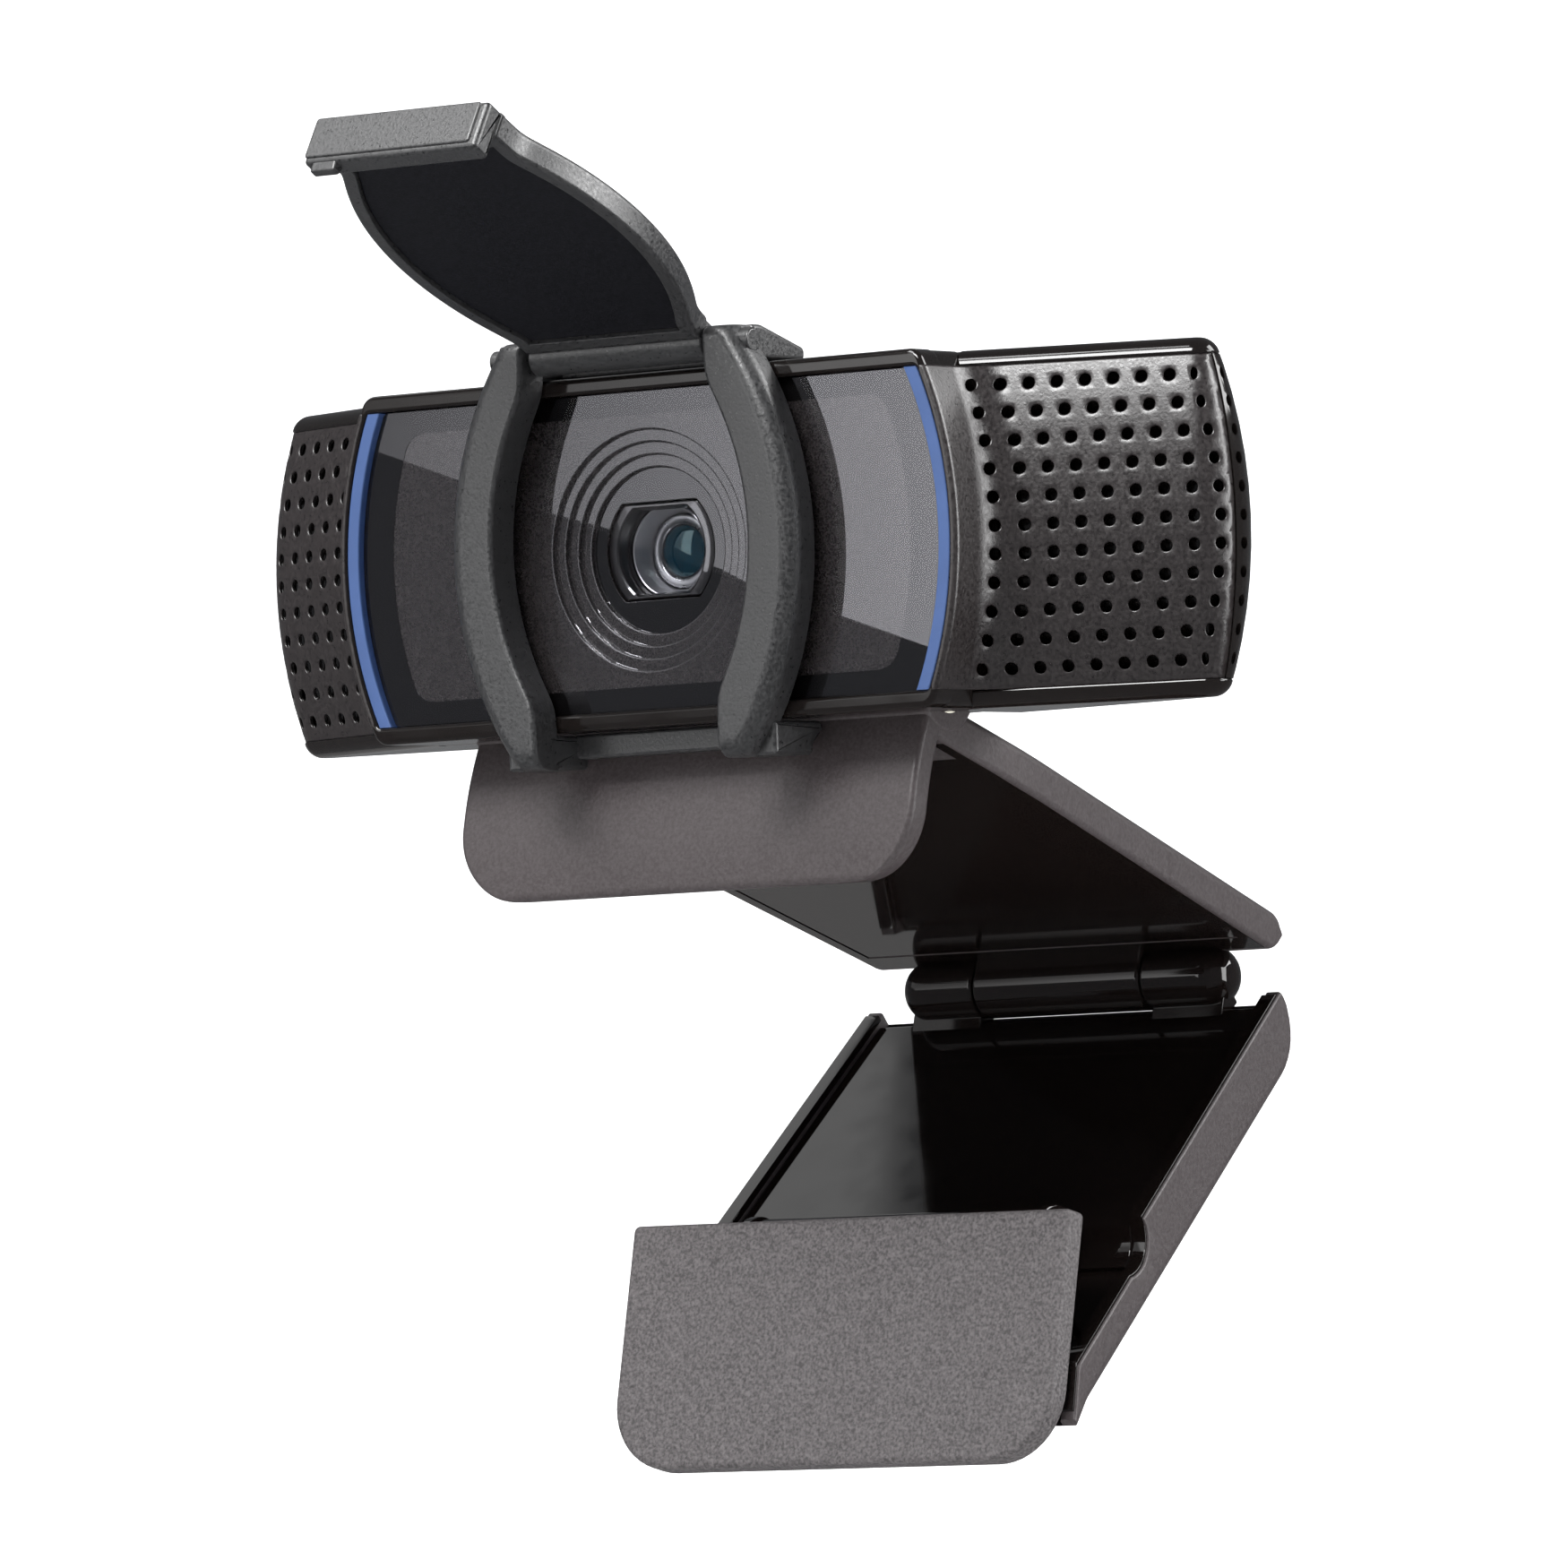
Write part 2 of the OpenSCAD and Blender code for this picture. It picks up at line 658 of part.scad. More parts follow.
module focus_housing() color("#8c8f94") at_head() difference() {
    facing(bezel_back, board_y) square(housing_w, center = true);
    stem(housing_bore, 0, barrel_back + 0.5);
    facing(0, far) square(aperture_w, center = true);
    facing(filter_y, far) square(filter_w, center = true);
}

module light_filter() color("#5f8fa0") at_head()
    facing(filter_y, filter_y + filter_t) square(filter_w, center = true);

module image_sensor() color("#3c4a3e") at_head() facing(board_y - sensor_t, board_y) square(sensor_w, center = true);

module circuit_board() color("#1f5a3a") at_head() difference() {
    translate([-board_w / 2, board_y, board_up - board_h / 2]) cube([board_w, board_t, board_h]);
    at_board_screws() stem(screw_r, 0, far);
}

// A chip of the given size on the board's front, at x and z from the board's middle
module chip(x, z, w, h, t) translate([x - w / 2, board_y - t, board_up + z - h / 2]) cube([w, t, h]);

module board_chips() color("#26282c") at_head() {
    chip(-processor_x, 0, processor_w, processor_w, chip_t);
    chip(-memory_x, memory_z, memory_w, memory_h, thin_chip_t);
    chip(power_x, power_z, power_w, power_w, chip_t);
    chip(power_x, -coil_z, coil_w, coil_h, thin_chip_t);
    chip(codec_x, 0, codec_w, codec_h, tall_chip_t);
    translate([-plug_w / 2, board_y + board_t, board_up - plug_h]) cube([plug_w, plug_t, plug_h]);
}

module microphones() color("#c9b06a") at_head()
    for (x = [-1, 1]) chip(x * (board_w / 2 - mic_in), 0, mic_w, mic_h, chip_t);

module board_screws() color("#9a9ca0") at_head() at_board_screws() {
    stem(screw_head_r, board_y - screw_head_t, board_y);
    stem(screw_r, board_y, board_y + board_t + board_screw_reach);
}

module shell_screws() color("#9a9ca0") at_head() at_shell_screws() {
    stem(screw_head_r, shell_seat_y, shell_seat_y + screw_head_t);
    stem(screw_r, shell_screw_front, shell_seat_y);
}

module cable_gland() color("#161616") at_head() translate([0, 0, gland_z]) difference() {
    union() {
        stem(gland_flange_r, gland_flange_y - gland_flange_t, gland_flange_y);
        stem(gland_r, gland_flange_y, head_back + gland_proud);
    }
    stem(gland_bore_r, 0, far);
}

module tilt_pin() color("#b5b7ba") at_head() at_tilt() rod(tilt_pin_r, 2 * (bay_half_w + pin_seat));

// ---- Focusing lens -------------------------------------------------------------------------

module lens_barrel() color("#17171a") at_head() difference() {
    stem(barrel_r, barrel_front, barrel_back);
    stem(glass_r, 0, far);
    stem(barrel_r - 1.1, barrel_front + 1.4, far);
}

module lens_ring() color("#c4c6c9") at_head() difference() {
    stem(ring_r, ring_y, barrel_front);
    stem(glass_r, 0, far);
}

module front_lens() color("#24404a") at_head() intersection() {
    stem(glass_r, ring_y, barrel_front + 1.4);
    translate([0, ring_y + 0.15 + 3 * glass_r, 0]) sphere(3 * glass_r);
}

module rear_lens() color("#4d7480") at_head() stem(barrel_r - 1.1, barrel_back - 2.8, barrel_back - 1);

module focus_coil() color("#b06a34") at_head() difference() {
    stem(coil_r, barrel_back - 4.2, barrel_back - 1.2);
    stem(barrel_r, 0, far);
}

// ---- Privacy shutter -----------------------------------------------------------------------

// Front outline of the gap between the bars, inset by t
module bars_gap(t) {
    intersection() {
        translate([gap_half_mid - bow_r, bow_mid_z]) circle(bow_r - t, $fn = 120);
        translate([bow_r - gap_half_mid, bow_mid_z]) circle(bow_r - t, $fn = 120);
        translate([0, bow_mid_z]) square([2 * far, gap_bow_h], center = true);
    }
    square([2 * (gap_half_end - t), 2 * far], center = true);
}

// A disc with a round front edge, whose rim is one bar's outer edge
module bar_disc() translate([bars_half_w - bars_side_r, 0, 0]) rotate([90, 0, 0]) rotate_extrude($fn = 240) {
    translate([0, bar_back]) square([bars_side_r - bar_round, bar_front - bar_back]);
    translate([0, bar_back]) square([bars_side_r, bar_front - bar_back - bar_round]);
    translate([bars_side_r - bar_round, bar_front - bar_round]) circle(bar_round);
}

// Side outline of the bars: the lower front corner is round
module bar_side() {
    translate([-bar_front, bar_foot_round - shutter_top]) square([bar_front - bar_back, 2 * shutter_top - bar_foot_round]);
    translate([bar_foot_round - bar_front, -shutter_top]) square([bar_front - bar_back - bar_foot_round, 2 * shutter_top]);
    translate([bar_foot_round - bar_front, bar_foot_round - shutter_top]) circle(bar_foot_round);
}

module shutter_frame() color("#2f3136") at_head() difference() {
    union() {
        difference() {
            intersection() {
                bar_disc();
                mirror([1, 0, 0]) bar_disc();
                across(2 * far) bar_side();
            }
            facing(-far, far) bars_gap(0);
        }
        both_sides() {
            translate([(gap_half_end + ear_half_w) / 2, 0, 0]) across(ear_half_w - gap_half_end) polygon([
                [-bar_back - 1, head_h / 2 + clip_gap],
                [ear_reach, head_h / 2 + clip_gap],
                [ear_reach, head_h / 2 + clip_gap + 1],
                [-bar_back, shutter_top],
                [-bar_back - 1, shutter_top]]);
            translate([(gap_half_end + hook_half_w) / 2, 0, 0]) across(hook_half_w - gap_half_end) polygon([
                [-bar_back - 1, -head_h / 2 - clip_gap],
                [hook_reach, -head_h / 2 - clip_gap],
                [hook_reach, -head_h / 2 - clip_gap - 0.8],
                [hook_reach - 1.3, 1 - shutter_top],
                [hook_reach - 1.3, -shutter_top],
                [-bar_back - 1, -shutter_top]]);
        }
        translate([-gap_half_end - 0.5, sill_front, head_h / 2 + clip_gap])
            cube([2 * gap_half_end + 1, sill_back - sill_front, hook_t - 1.5]);
        translate([-gap_half_end - 0.5, sill_front, sill_lift - shutter_top])
            cube([2 * gap_half_end + 1, sill_back - sill_front, hook_t - sill_lift]);
    }
    translate(flap_at) rod(flap_pin_r, 2 * far);
}

module shutter_pin() color("#8e9094") at_head() translate(flap_at) rod(flap_pin_r, 2 * (gap_half_end + 2.8));

// Front outline of the closed flap below its pivot, inset by t
module flap_outline(t) translate([0, -head_h / 2 - flap_pivot_up]) intersection() {
    bars_gap(flap_gap + t);
    translate([-far, head_h / 2 + flap_pivot_up - flap_tail + t]) square([2 * far, flap_tail - flap_root_r - 2 * t]);
}

module shutter_flap() color("#36383d") at_flap() difference() {
    union() {
        facing(-flap_front, flap_rear) flap_outline(0);
        rod(flap_root_r, 2 * (gap_half_end - flap_gap));
        translate([flap_gap - gap_half_end, -flap_root_r, -flap_root_r - 0.6])
            cube([2 * (gap_half_end - flap_gap), flap_root_r, flap_root_r + 0.6]);
        translate([-tab_half_w, -flap_front, -flap_len]) cube([2 * tab_half_w, flap_front + tab_reach, tab_t]);
        translate([-tab_half_w, -flap_front, -flap_len]) cube([2 * tab_half_w, flap_front + flap_rear, tab_t + 0.5]);
    }
    facing(flap_rear - lining_inset - lining_t, far) intersection() {
        flap_outline(flap_rim);
        translate([-far, -flap_tail + flap_rim]) square([2 * far, flap_tail - 2 * flap_rim - flap_root_r]);
    }
    rod(flap_pin_r + running, 2 * far);
}

module flap_lining() color("#10131f") at_flap()
    facing(flap_rear - lining_inset - lining_t, flap_rear - lining_inset) intersection() {
        flap_outline(flap_rim);
        translate([-far, -flap_tail + flap_rim]) square([2 * far, flap_tail - 2 * flap_rim - flap_root_r]);
    }

// ---- Clip arm ------------------------------------------------------------------------------

// Plan of the arm, inset by t: it narrows towards the hinge
module arm_plan(t, front, back) linear_extrude(4 * far, center = true) polygon([
    [-arm_half_w + t, front], [arm_half_w - t, front], [arm_half_w - t, 0],
    [arm_half_w_rear - t, back], [-arm_half_w_rear + t, back], [-arm_half_w + t, 0]]);

module lip_side() intersection() {
    translate(lip_at) difference() {
        circle(lip_front_r, $fn = 120);
        circle(lip_front_r - lip_t, $fn = 120);
    }
    translate([lip_centre_y - far, -lip_drop]) square([far, lip_drop + lens_above - tilt_drop - bush_r - 0.05]);
}

// Front mask of the lip: round lower corners
module lip_front() {
    translate([-clip_half_w, lip_corner_r - lip_drop]) square([2 * clip_half_w, 2 * far]);
    translate([lip_corner_r - clip_half_w, -lip_drop]) square([2 * (clip_half_w - lip_corner_r), far]);
    for (x = [-1, 1]) translate([x * (clip_half_w - lip_corner_r), lip_corner_r - lip_drop]) circle(lip_corner_r);
}

module arm_side() {
    translate([arm_front, 0]) square([arm_back - arm_t / 2 - arm_front, arm_t]);
    translate([arm_back - arm_t / 2, arm_t / 2]) circle(arm_t / 2);
}

module clip_arm() color("#5a5454") difference() {
    union() {
        intersection() {
            across(2 * clip_half_w) lip_side();
            facing(-far, far) lip_front();
        }
        at_head() at_tilt() rod(tilt_r, 2 * tilt_half_w);
        at_arm() intersection() {
            across(2 * clip_half_w) arm_side();
            arm_plan(0, -2 * far, arm_back);
        }
        at_arm() translate([0, hinge_back, -hinge_drop]) {
            rod(knuckle_r, 2 * mid_knuckle_half);
            translate([-mid_knuckle_half, -knuckle_r, 0]) cube([2 * mid_knuckle_half, 1.5 * knuckle_r, hinge_drop + arm_t / 2]);
        }
    }
    at_head() at_tilt() {
        rod(tilt_pin_r + curved_gap, 3 * clip_half_w);
        both_sides() translate([tilt_half_w, 0, 0]) rod(bush_r, 2 * bush_len);
    }
    at_arm() {
        both_sides() translate([mid_knuckle_half + far, hinge_back, -hinge_drop]) rod(knuckle_r + curved_gap, 2 * far);
        translate([0, hinge_back, -hinge_drop]) rod(hinge_pin_r, far);
        intersection() {
            translate([-far, arm_panel_front, -far]) cube([2 * far, arm_panel_back - arm_panel_front, far + arm_panel_t]);
            arm_plan(arm_rail, -2 * far, arm_back);
        }
    }
}

module arm_panel() color("#121011") at_arm() intersection() {
    translate([-far, arm_panel_front, 0]) cube([2 * far, arm_panel_back - arm_panel_front, arm_panel_t]);
    arm_plan(arm_rail, -2 * far, arm_back);
}

module tilt_bushes() color("#d8d4c4") at_head() at_tilt() both_sides() difference() {
    translate([tilt_half_w - bush_len / 2, 0, 0]) rod(bush_r, bush_len);
    rod(tilt_pin_r + running, 3 * clip_half_w);
}

module hinge_pin() color("#a9abae") at_hinge() rod(hinge_pin_r, 2 * (hinge_half_w - 0.5));

// ---- Leg -----------------------------------------------------------------------------------

// Plan of the leg, inset by t: it widens towards its lower end
module leg_plan(t) linear_extrude(4 * far, center = true) polygon([
    [-leg_half_w + t, 0], [leg_half_w - t, 0], [leg_half_w_end - t, leg_len],
    [-leg_half_w_end + t, leg_len]]);

// Side outline of the leg's outer skin, inset by t
module leg_side(t) {
    translate([leg_start + leg_round, -far]) square([leg_len - leg_start - leg_round, far + leg_outer - t]);
    translate([leg_start + t, -far]) square([leg_len - leg_start - t, far + leg_outer - leg_round]);
    translate([leg_start + leg_round, leg_outer - leg_round]) circle(leg_round - t);
}

// Side outline of all that lies behind the foot, where its rear face is at depth y
module behind_foot(y) translate([foot_along, foot_out]) rotate(foot_tilt)
    translate([-2 * far, y + rest_gap]) square([4 * far, 2 * far]);

// Side outline of the free space in front of two faces, one before and one past the axle
module in_front(upper, lower) {
    translate([-far, -far]) square([far + foot_along, far + upper]);
    translate([foot_along, -far]) square([far, far + lower]);
}

module at_leg_posts() for (x = [-1, 1], u = leg_screw_u) translate([x * leg_screw_x, u, 0]) children();

module leg_knuckles(grow) both_sides() translate([(mid_knuckle_half + knuckle_gap + hinge_half_w) / 2, 0, 0])
    rod(knuckle_r + grow, hinge_half_w - mid_knuckle_half - knuckle_gap + 2 * grow);

module leg_cover() color("#5a5454") at_leg() difference() {
    union() {
        difference() {
            intersection() {
                across(2 * far) intersection() {
                    leg_side(0);
                    behind_foot(pad_back);
                }
                leg_plan(0);
            }
            intersection() {
                across(2 * far) leg_side(leg_wall);
                leg_plan(leg_rail);
                translate([-far, -far, -far]) cube([2 * far, 3 * far, far + leg_outer - leg_wall]);
            }
            across(2 * far) in_front(rail_edge, low_edge);
        }
        intersection() {
            union() {
                at_leg_posts() post(leg_post_r, panel_back, leg_outer - leg_wall / 2);
                translate([0, insert_along, 0]) post(insert_r + 1.2, insert_in, leg_outer - leg_wall / 2);
            }
            across(2 * far) leg_side(leg_wall / 2);
        }
        leg_knuckles(0);
    }
    translate(foot_at) rod(trough_r, 4 * far);
    translate(foot_at) rod(sleeve_r, 2 * cheek_half);
    across(2 * (leg_half_w_end - leg_rail)) difference() {
        square(8 * far, center = true);
        behind_foot(backing_back);
    }
    rod(knuckle_r + curved_gap, 2 * (mid_knuckle_half + knuckle_gap));
    rod(hinge_pin_r + running, 2 * far);
    at_leg_posts() post(screw_r, 0, far);
    at_leg_posts() post(screw_head_r, leg_screw_seat, far);
    translate([0, insert_along, 0]) post(insert_r, 0, far);
}

module leg_panel_side() intersection() {
    difference() {
        union() {
            translate([panel_start, panel_face]) square([foot_along - panel_start, leg_panel_t]);
            translate([foot_along, low_face]) square([leg_len - foot_along, leg_outer - leg_wall - low_face]);
            translate([foot_along, foot_out]) circle(sleeve_r);
        }
        translate([foot_along, foot_out]) circle(trough_r);
        in_front(panel_face, low_face);
    }
    behind_foot(backing_back);
    translate([-far, -far]) square([4 * far, far + leg_outer - leg_wall]);
}

// Side outline of the cheeks that hold the foot's axle
module cheek_side() {
    difference() {
        translate([foot_along, foot_out]) circle(sleeve_r - 0.15);
        in_front(panel_face + 0.1, low_face + 0.1);
    }
    translate([foot_along, foot_out]) circle(trough_r - 0.1);
}

module leg_panel() color("#121011") at_leg() difference() {
    union() {
        intersection() {
            across(2 * far) leg_panel_side();
            leg_plan(leg_rail);
        }
        both_sides() translate([(cheek_in + cheek_half) / 2, 0, 0]) across(cheek_half - cheek_in) cheek_side();
    }
    translate(foot_at) rod(foot_pin_r, 2 * far);
    at_leg_posts() post(screw_r, panel_face + 0.5, panel_back + 1);
}

module tripod_insert() color("#b79a5a") at_leg() translate([0, insert_along, 0]) difference() {
    post(insert_r, insert_in, leg_outer);
    post(tripod_r, 0, far);
}

module leg_screws() color("#9a9ca0") at_leg() at_leg_posts() {
    post(screw_head_r, leg_screw_seat, leg_screw_seat + screw_head_t);
    post(screw_r, panel_face + 0.5, leg_screw_seat);
}

module foot_axle() color("#a9abae") at_leg() translate(foot_at) rod(foot_pin_r, 2 * (cheek_half - 0.2));

// ---- Foot ----------------------------------------------------------------------------------

module foot_backing() color("#141213") at_foot() difference() {
    union() {
        rod(foot_barrel_r, 2 * foot_barrel_half);
        across(2 * neck_half_w) polygon([
            [pad_back, pad_top - 0.5], [backing_back, pad_top - 0.5], [-1, foot_barrel_r - 0.6],
            [-1, 0.4 - foot_barrel_r], [backing_back, -1.5 * foot_barrel_r], [pad_back, -1.5 * foot_barrel_r]]);
        facing(pad_back, backing_back) translate([-backing_half_w, pad_top + 0.8 - pad_h])
            square([2 * backing_half_w, pad_h - 1.3]);
    }
    rod(foot_pin_r + running, 2 * far);
}

module pad_outline() {
    translate([-pad_half_w, pad_top - pad_h + pad_corner_r]) square([2 * pad_half_w, pad_h - pad_corner_r - pad_top_r]);
    translate([pad_corner_r - pad_half_w, pad_top - pad_h]) square([2 * (pad_half_w - pad_corner_r), pad_h - pad_top_r]);
    translate([pad_top_r - pad_half_w, pad_top - pad_h / 2]) square([2 * (pad_half_w - pad_top_r), pad_h / 2]);
    for (x = [-1, 1]) {
        translate([x * (pad_half_w - pad_corner_r), pad_top - pad_h + pad_corner_r]) circle(pad_corner_r);
        translate([x * (pad_half_w - pad_top_r), pad_top - pad_top_r]) circle(pad_top_r);
    }
}

module foot_pad() color("#6b6768") at_foot() facing(-pad_ahead, pad_back) pad_outline();

rear_shell();
front_frame();
left_grille();
right_grille();
front_window();
left_light_strip();
right_light_strip();
lens_surround();
lens_bezel();
focus_housing();
light_filter();
image_sensor();
circuit_board();
board_chips();
microphones();
board_screws();
shell_screws();
cable_gland();
tilt_pin();
shutter_frame();
shutter_pin();
lens_barrel();
lens_ring();
front_lens();
rear_lens();
focus_coil();
shutter_flap();
flap_lining();
clip_arm();
arm_panel();
tilt_bushes();
hinge_pin();
leg_cover();
leg_panel();
tripod_insert();
leg_screws();
foot_axle();
foot_backing();
foot_pad();
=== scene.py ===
"""Webcam with a clip-on shutter on a folding monitor clip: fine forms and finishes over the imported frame."""
import json
import math

import bmesh
import bpy
import numpy as np
from mathutils import Matrix, Vector


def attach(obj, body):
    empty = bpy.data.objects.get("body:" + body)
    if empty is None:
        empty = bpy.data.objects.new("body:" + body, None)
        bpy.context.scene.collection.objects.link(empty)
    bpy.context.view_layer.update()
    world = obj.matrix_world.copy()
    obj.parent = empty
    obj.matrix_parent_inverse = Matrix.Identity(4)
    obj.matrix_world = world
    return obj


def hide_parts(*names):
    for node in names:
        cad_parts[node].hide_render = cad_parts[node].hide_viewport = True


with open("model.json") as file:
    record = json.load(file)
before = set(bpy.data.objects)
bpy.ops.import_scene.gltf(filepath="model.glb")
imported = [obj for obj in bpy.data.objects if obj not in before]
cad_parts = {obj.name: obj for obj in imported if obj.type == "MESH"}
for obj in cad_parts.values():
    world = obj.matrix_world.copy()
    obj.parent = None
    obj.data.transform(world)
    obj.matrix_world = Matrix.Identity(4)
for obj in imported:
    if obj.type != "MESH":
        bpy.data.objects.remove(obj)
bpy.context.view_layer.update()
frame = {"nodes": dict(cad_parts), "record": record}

MM = 0.001
HOLD = 0.04  # mm between the pair of rows that keeps a flat face flat beside a rounded edge
LEAD = 1.7  # mm from the middle plane to the centres of the head's bowed sides
SHARP = 34  # degrees past which an edge is left hard


# ---------------------------------------------------------------- places

def placed(points, place):
    """Turns points about the X axis by the place's angle, then carries them to its origin."""
    origin, angle = place
    p, a = np.asarray(points, float), math.radians(angle)
    y = p[..., 1] * math.cos(a) - p[..., 2] * math.sin(a)
    z = p[..., 1] * math.sin(a) + p[..., 2] * math.cos(a)
    return np.stack([p[..., 0], y, z], -1) + np.asarray(origin, float)


ROW = ((0, 0, 0), 0)
HEAD = ((0, -20, 20.85), 0)
ARM = ((0, 0, 0), -19.2)
HINGE_BACK, HINGE_DROP = 40.2, 2.0
LEG = (placed((0, HINGE_BACK, -HINGE_DROP), ARM), 219.6)
FOOT_U, FOOT_W = 33.4, 0.5
FOOT = (placed((0, FOOT_U, FOOT_W), LEG), -13.2)
FLAP = ((0, -21.6, 37.05), -120.8)


# ---------------------------------------------------------------- outlines

def rounded(corners, radius, steps=6):
    """Straight edges between corner points, and at each corner an arc of its own radius, tangent to both edges."""
    p = np.array(corners, float)
    r = np.broadcast_to(np.asarray(radius, float), len(p))[:, None]
    back, on = np.roll(p, 1, 0) - p, np.roll(p, -1, 0) - p
    back /= np.linalg.norm(back, axis=1, keepdims=True)
    on /= np.linalg.norm(on, axis=1, keepdims=True)
    half = np.arccos(np.clip((back * on).sum(1, keepdims=True), -1, 1)) / 2
    middle = back + on
    centre = p + middle / np.linalg.norm(middle, axis=1, keepdims=True) * r / np.sin(half)
    v, w = p + back * r / np.tan(half) - centre, p + on * r / np.tan(half) - centre
    turn = np.arctan2(v[:, 0] * w[:, 1] - v[:, 1] * w[:, 0], (v * w).sum(1))
    a = turn[:, None] * np.linspace(0, 1, steps + 1)
    c, s = np.cos(a), np.sin(a)
    arc = np.stack([v[:, :1] * c - v[:, 1:] * s, v[:, :1] * s + v[:, 1:] * c], -1)
    return (centre[:, None] + arc).reshape(-1, 2)


def box(x0, y0, x1, y1):
    """The four corners of a rectangle, anticlockwise."""
    return [(x0, y0), (x1, y0), (x1, y1), (x0, y1)]


def inset(outline, t):
    """Each point of an anticlockwise outline moves inward until it lies t from both edges that meet at it."""
    edge = np.roll(outline, -1, 0) - outline
    edge /= np.linalg.norm(edge, axis=1, keepdims=True)
    on = np.stack([-edge[:, 1], edge[:, 0]], -1)
    back = np.roll(on, 1, 0)
    return outline + t * (on + back) / (1 + (on * back).sum(1, keepdims=True))


def bow(side_r, half_h, corner_r):
    """Outline with two bowed sides, arcs of radius side_r about (-LEAD, 0) and (LEAD, 0), a flat top and bottom
    at half_h, and corner arcs of radius corner_r that touch both."""
    cz = half_h - corner_r
    cx = -LEAD + math.sqrt((side_r - corner_r) ** 2 - cz ** 2)
    tilt = math.asin(cz / (side_r - corner_r))
    a = np.linspace(-tilt, tilt, 28)
    side = np.stack([-LEAD + side_r * np.cos(a), side_r * np.sin(a)], -1)
    b = np.linspace(tilt, math.pi / 2, 7)[1:]
    top = np.stack([cx + corner_r * np.cos(b), cz + corner_r * np.sin(b)], -1)
    flat = np.stack([np.linspace(cx, -cx, 10)[1:-1], np.full(8, half_h)], -1)
    half = np.concatenate([side, top, flat])
    low = top[::-1] * (1, -1)
    return np.concatenate([low, half, top[::-1] * (-1, 1), side[::-1] * (-1, 1), low[::-1] * (-1, 1), flat * (-1, -1)])


def edge_rows(low, high, r, r_high=None, steps=4):
    """(inset, height) pairs up a wall: a quarter circle of radius r at its foot and of r_high at its head."""
    q = r if r_high is None else r_high
    t = np.linspace(0, math.pi / 2, steps + 1)
    foot = np.stack([r * (1 - np.sin(t)), low + r * (1 - np.cos(t))], -1)
    head = np.stack([q * (1 - np.sin(t)), high - q * (1 - np.cos(t))], -1)[::-1]
    return np.concatenate([[[r + HOLD, low]], foot, [[0, low + r + HOLD], [0, high - q - HOLD]], head,
                           [[q + HOLD, high]]])


# ---------------------------------------------------------------- surfaces

def skin(grid, around=True, along=False, caps=True):
    """Points and faces of a grid: quads join each row to the next, around closes every row on itself, along joins the
    last row to the first, and caps closes the first and last rows with one flat face each."""
    rows, cols = grid.shape[:2]
    n = np.arange(rows * cols).reshape(rows, cols)
    low, high = (n, np.roll(n, -1, 0)) if along else (n[:-1], n[1:])
    if around:
        quads = np.stack([low, np.roll(low, -1, 1), np.roll(high, -1, 1), high], -1)
    else:
        quads = np.stack([low[:, :-1], low[:, 1:], high[:, 1:], high[:, :-1]], -1)
    faces = quads.reshape(-1, 4).tolist()
    if caps and not along:
        faces += [n[0][::-1].tolist(), n[-1].tolist()]
    return grid.reshape(-1, 3), faces


def upright(outline, height, axis):
    """An outline set square to an axis, at a height along it: (x, z) outlines for y, (y, z) for x, (x, y) for z."""
    h = np.full(len(outline), float(height))
    a, b = outline[:, 0], outline[:, 1]
    return np.stack({"y": (a, h, b), "x": (h, a, b), "z": (a, b, h)}[axis], -1)


def slab(outline, low, high, edge, axis="y", edge_high=None):
    """A plate: the outline carried along an axis from low to high, with both rims rounded."""
    rows = edge_rows(low, high, edge, edge_high)
    return skin(np.stack([upright(inset(outline, t), h, axis) for t, h in rows]))


def turned(profile, axis="y", cols=64, centre=(0, 0), along=False):
    """A profile of (place along the axis, radius) pairs turned round that axis."""
    p = np.array(profile, float)
    a = np.linspace(0, 2 * math.pi, cols, endpoint=False)
    u = centre[0] + p[:, 1:] * np.cos(a)
    v = centre[1] + p[:, 1:] * np.sin(a)
    h = np.repeat(p[:, :1], cols, 1)
    return skin(np.stack({"y": (u, h, v), "x": (h, u, v), "z": (u, v, h)}[axis], -1), along=along)


def rod_rows(low, high, r, edge):
    """Profile of a rod with rounded ends, for turned."""
    rows = edge_rows(low, high, edge)
    return np.stack([rows[:, 1], r - rows[:, 0]], -1)


def both(shape):
    """A shape and its mirror image across the middle plane."""
    points, faces = shape
    return [shape, (points * (-1, 1, 1), [f[::-1] for f in faces])]


def mesh_of(name, shapes, place):
    """The mesh of closed surfaces given in millimetres: put in place, doubles merged, faces turned outward."""
    points, faces, start = [], [], 0
    for p, f in shapes:
        points.append(placed(p, place) * MM)
        faces += [[i + start for i in face] for face in f]
        start += len(p)
    mesh = bpy.data.meshes.new(name)
    mesh.from_pydata(np.concatenate(points).tolist(), [], faces)
    bm = bmesh.new()
    bm.from_mesh(mesh)
    bmesh.ops.remove_doubles(bm, verts=bm.verts, dist=2e-7)
    bmesh.ops.recalc_face_normals(bm, faces=bm.faces)
    bm.to_mesh(mesh)
    bm.free()
    return mesh


def shown(name, data):
    """An object in the scene that shows this mesh, lamp or camera."""
    obj = bpy.data.objects.new(name, data)
    bpy.context.scene.collection.objects.link(obj)
    return obj


finished = []


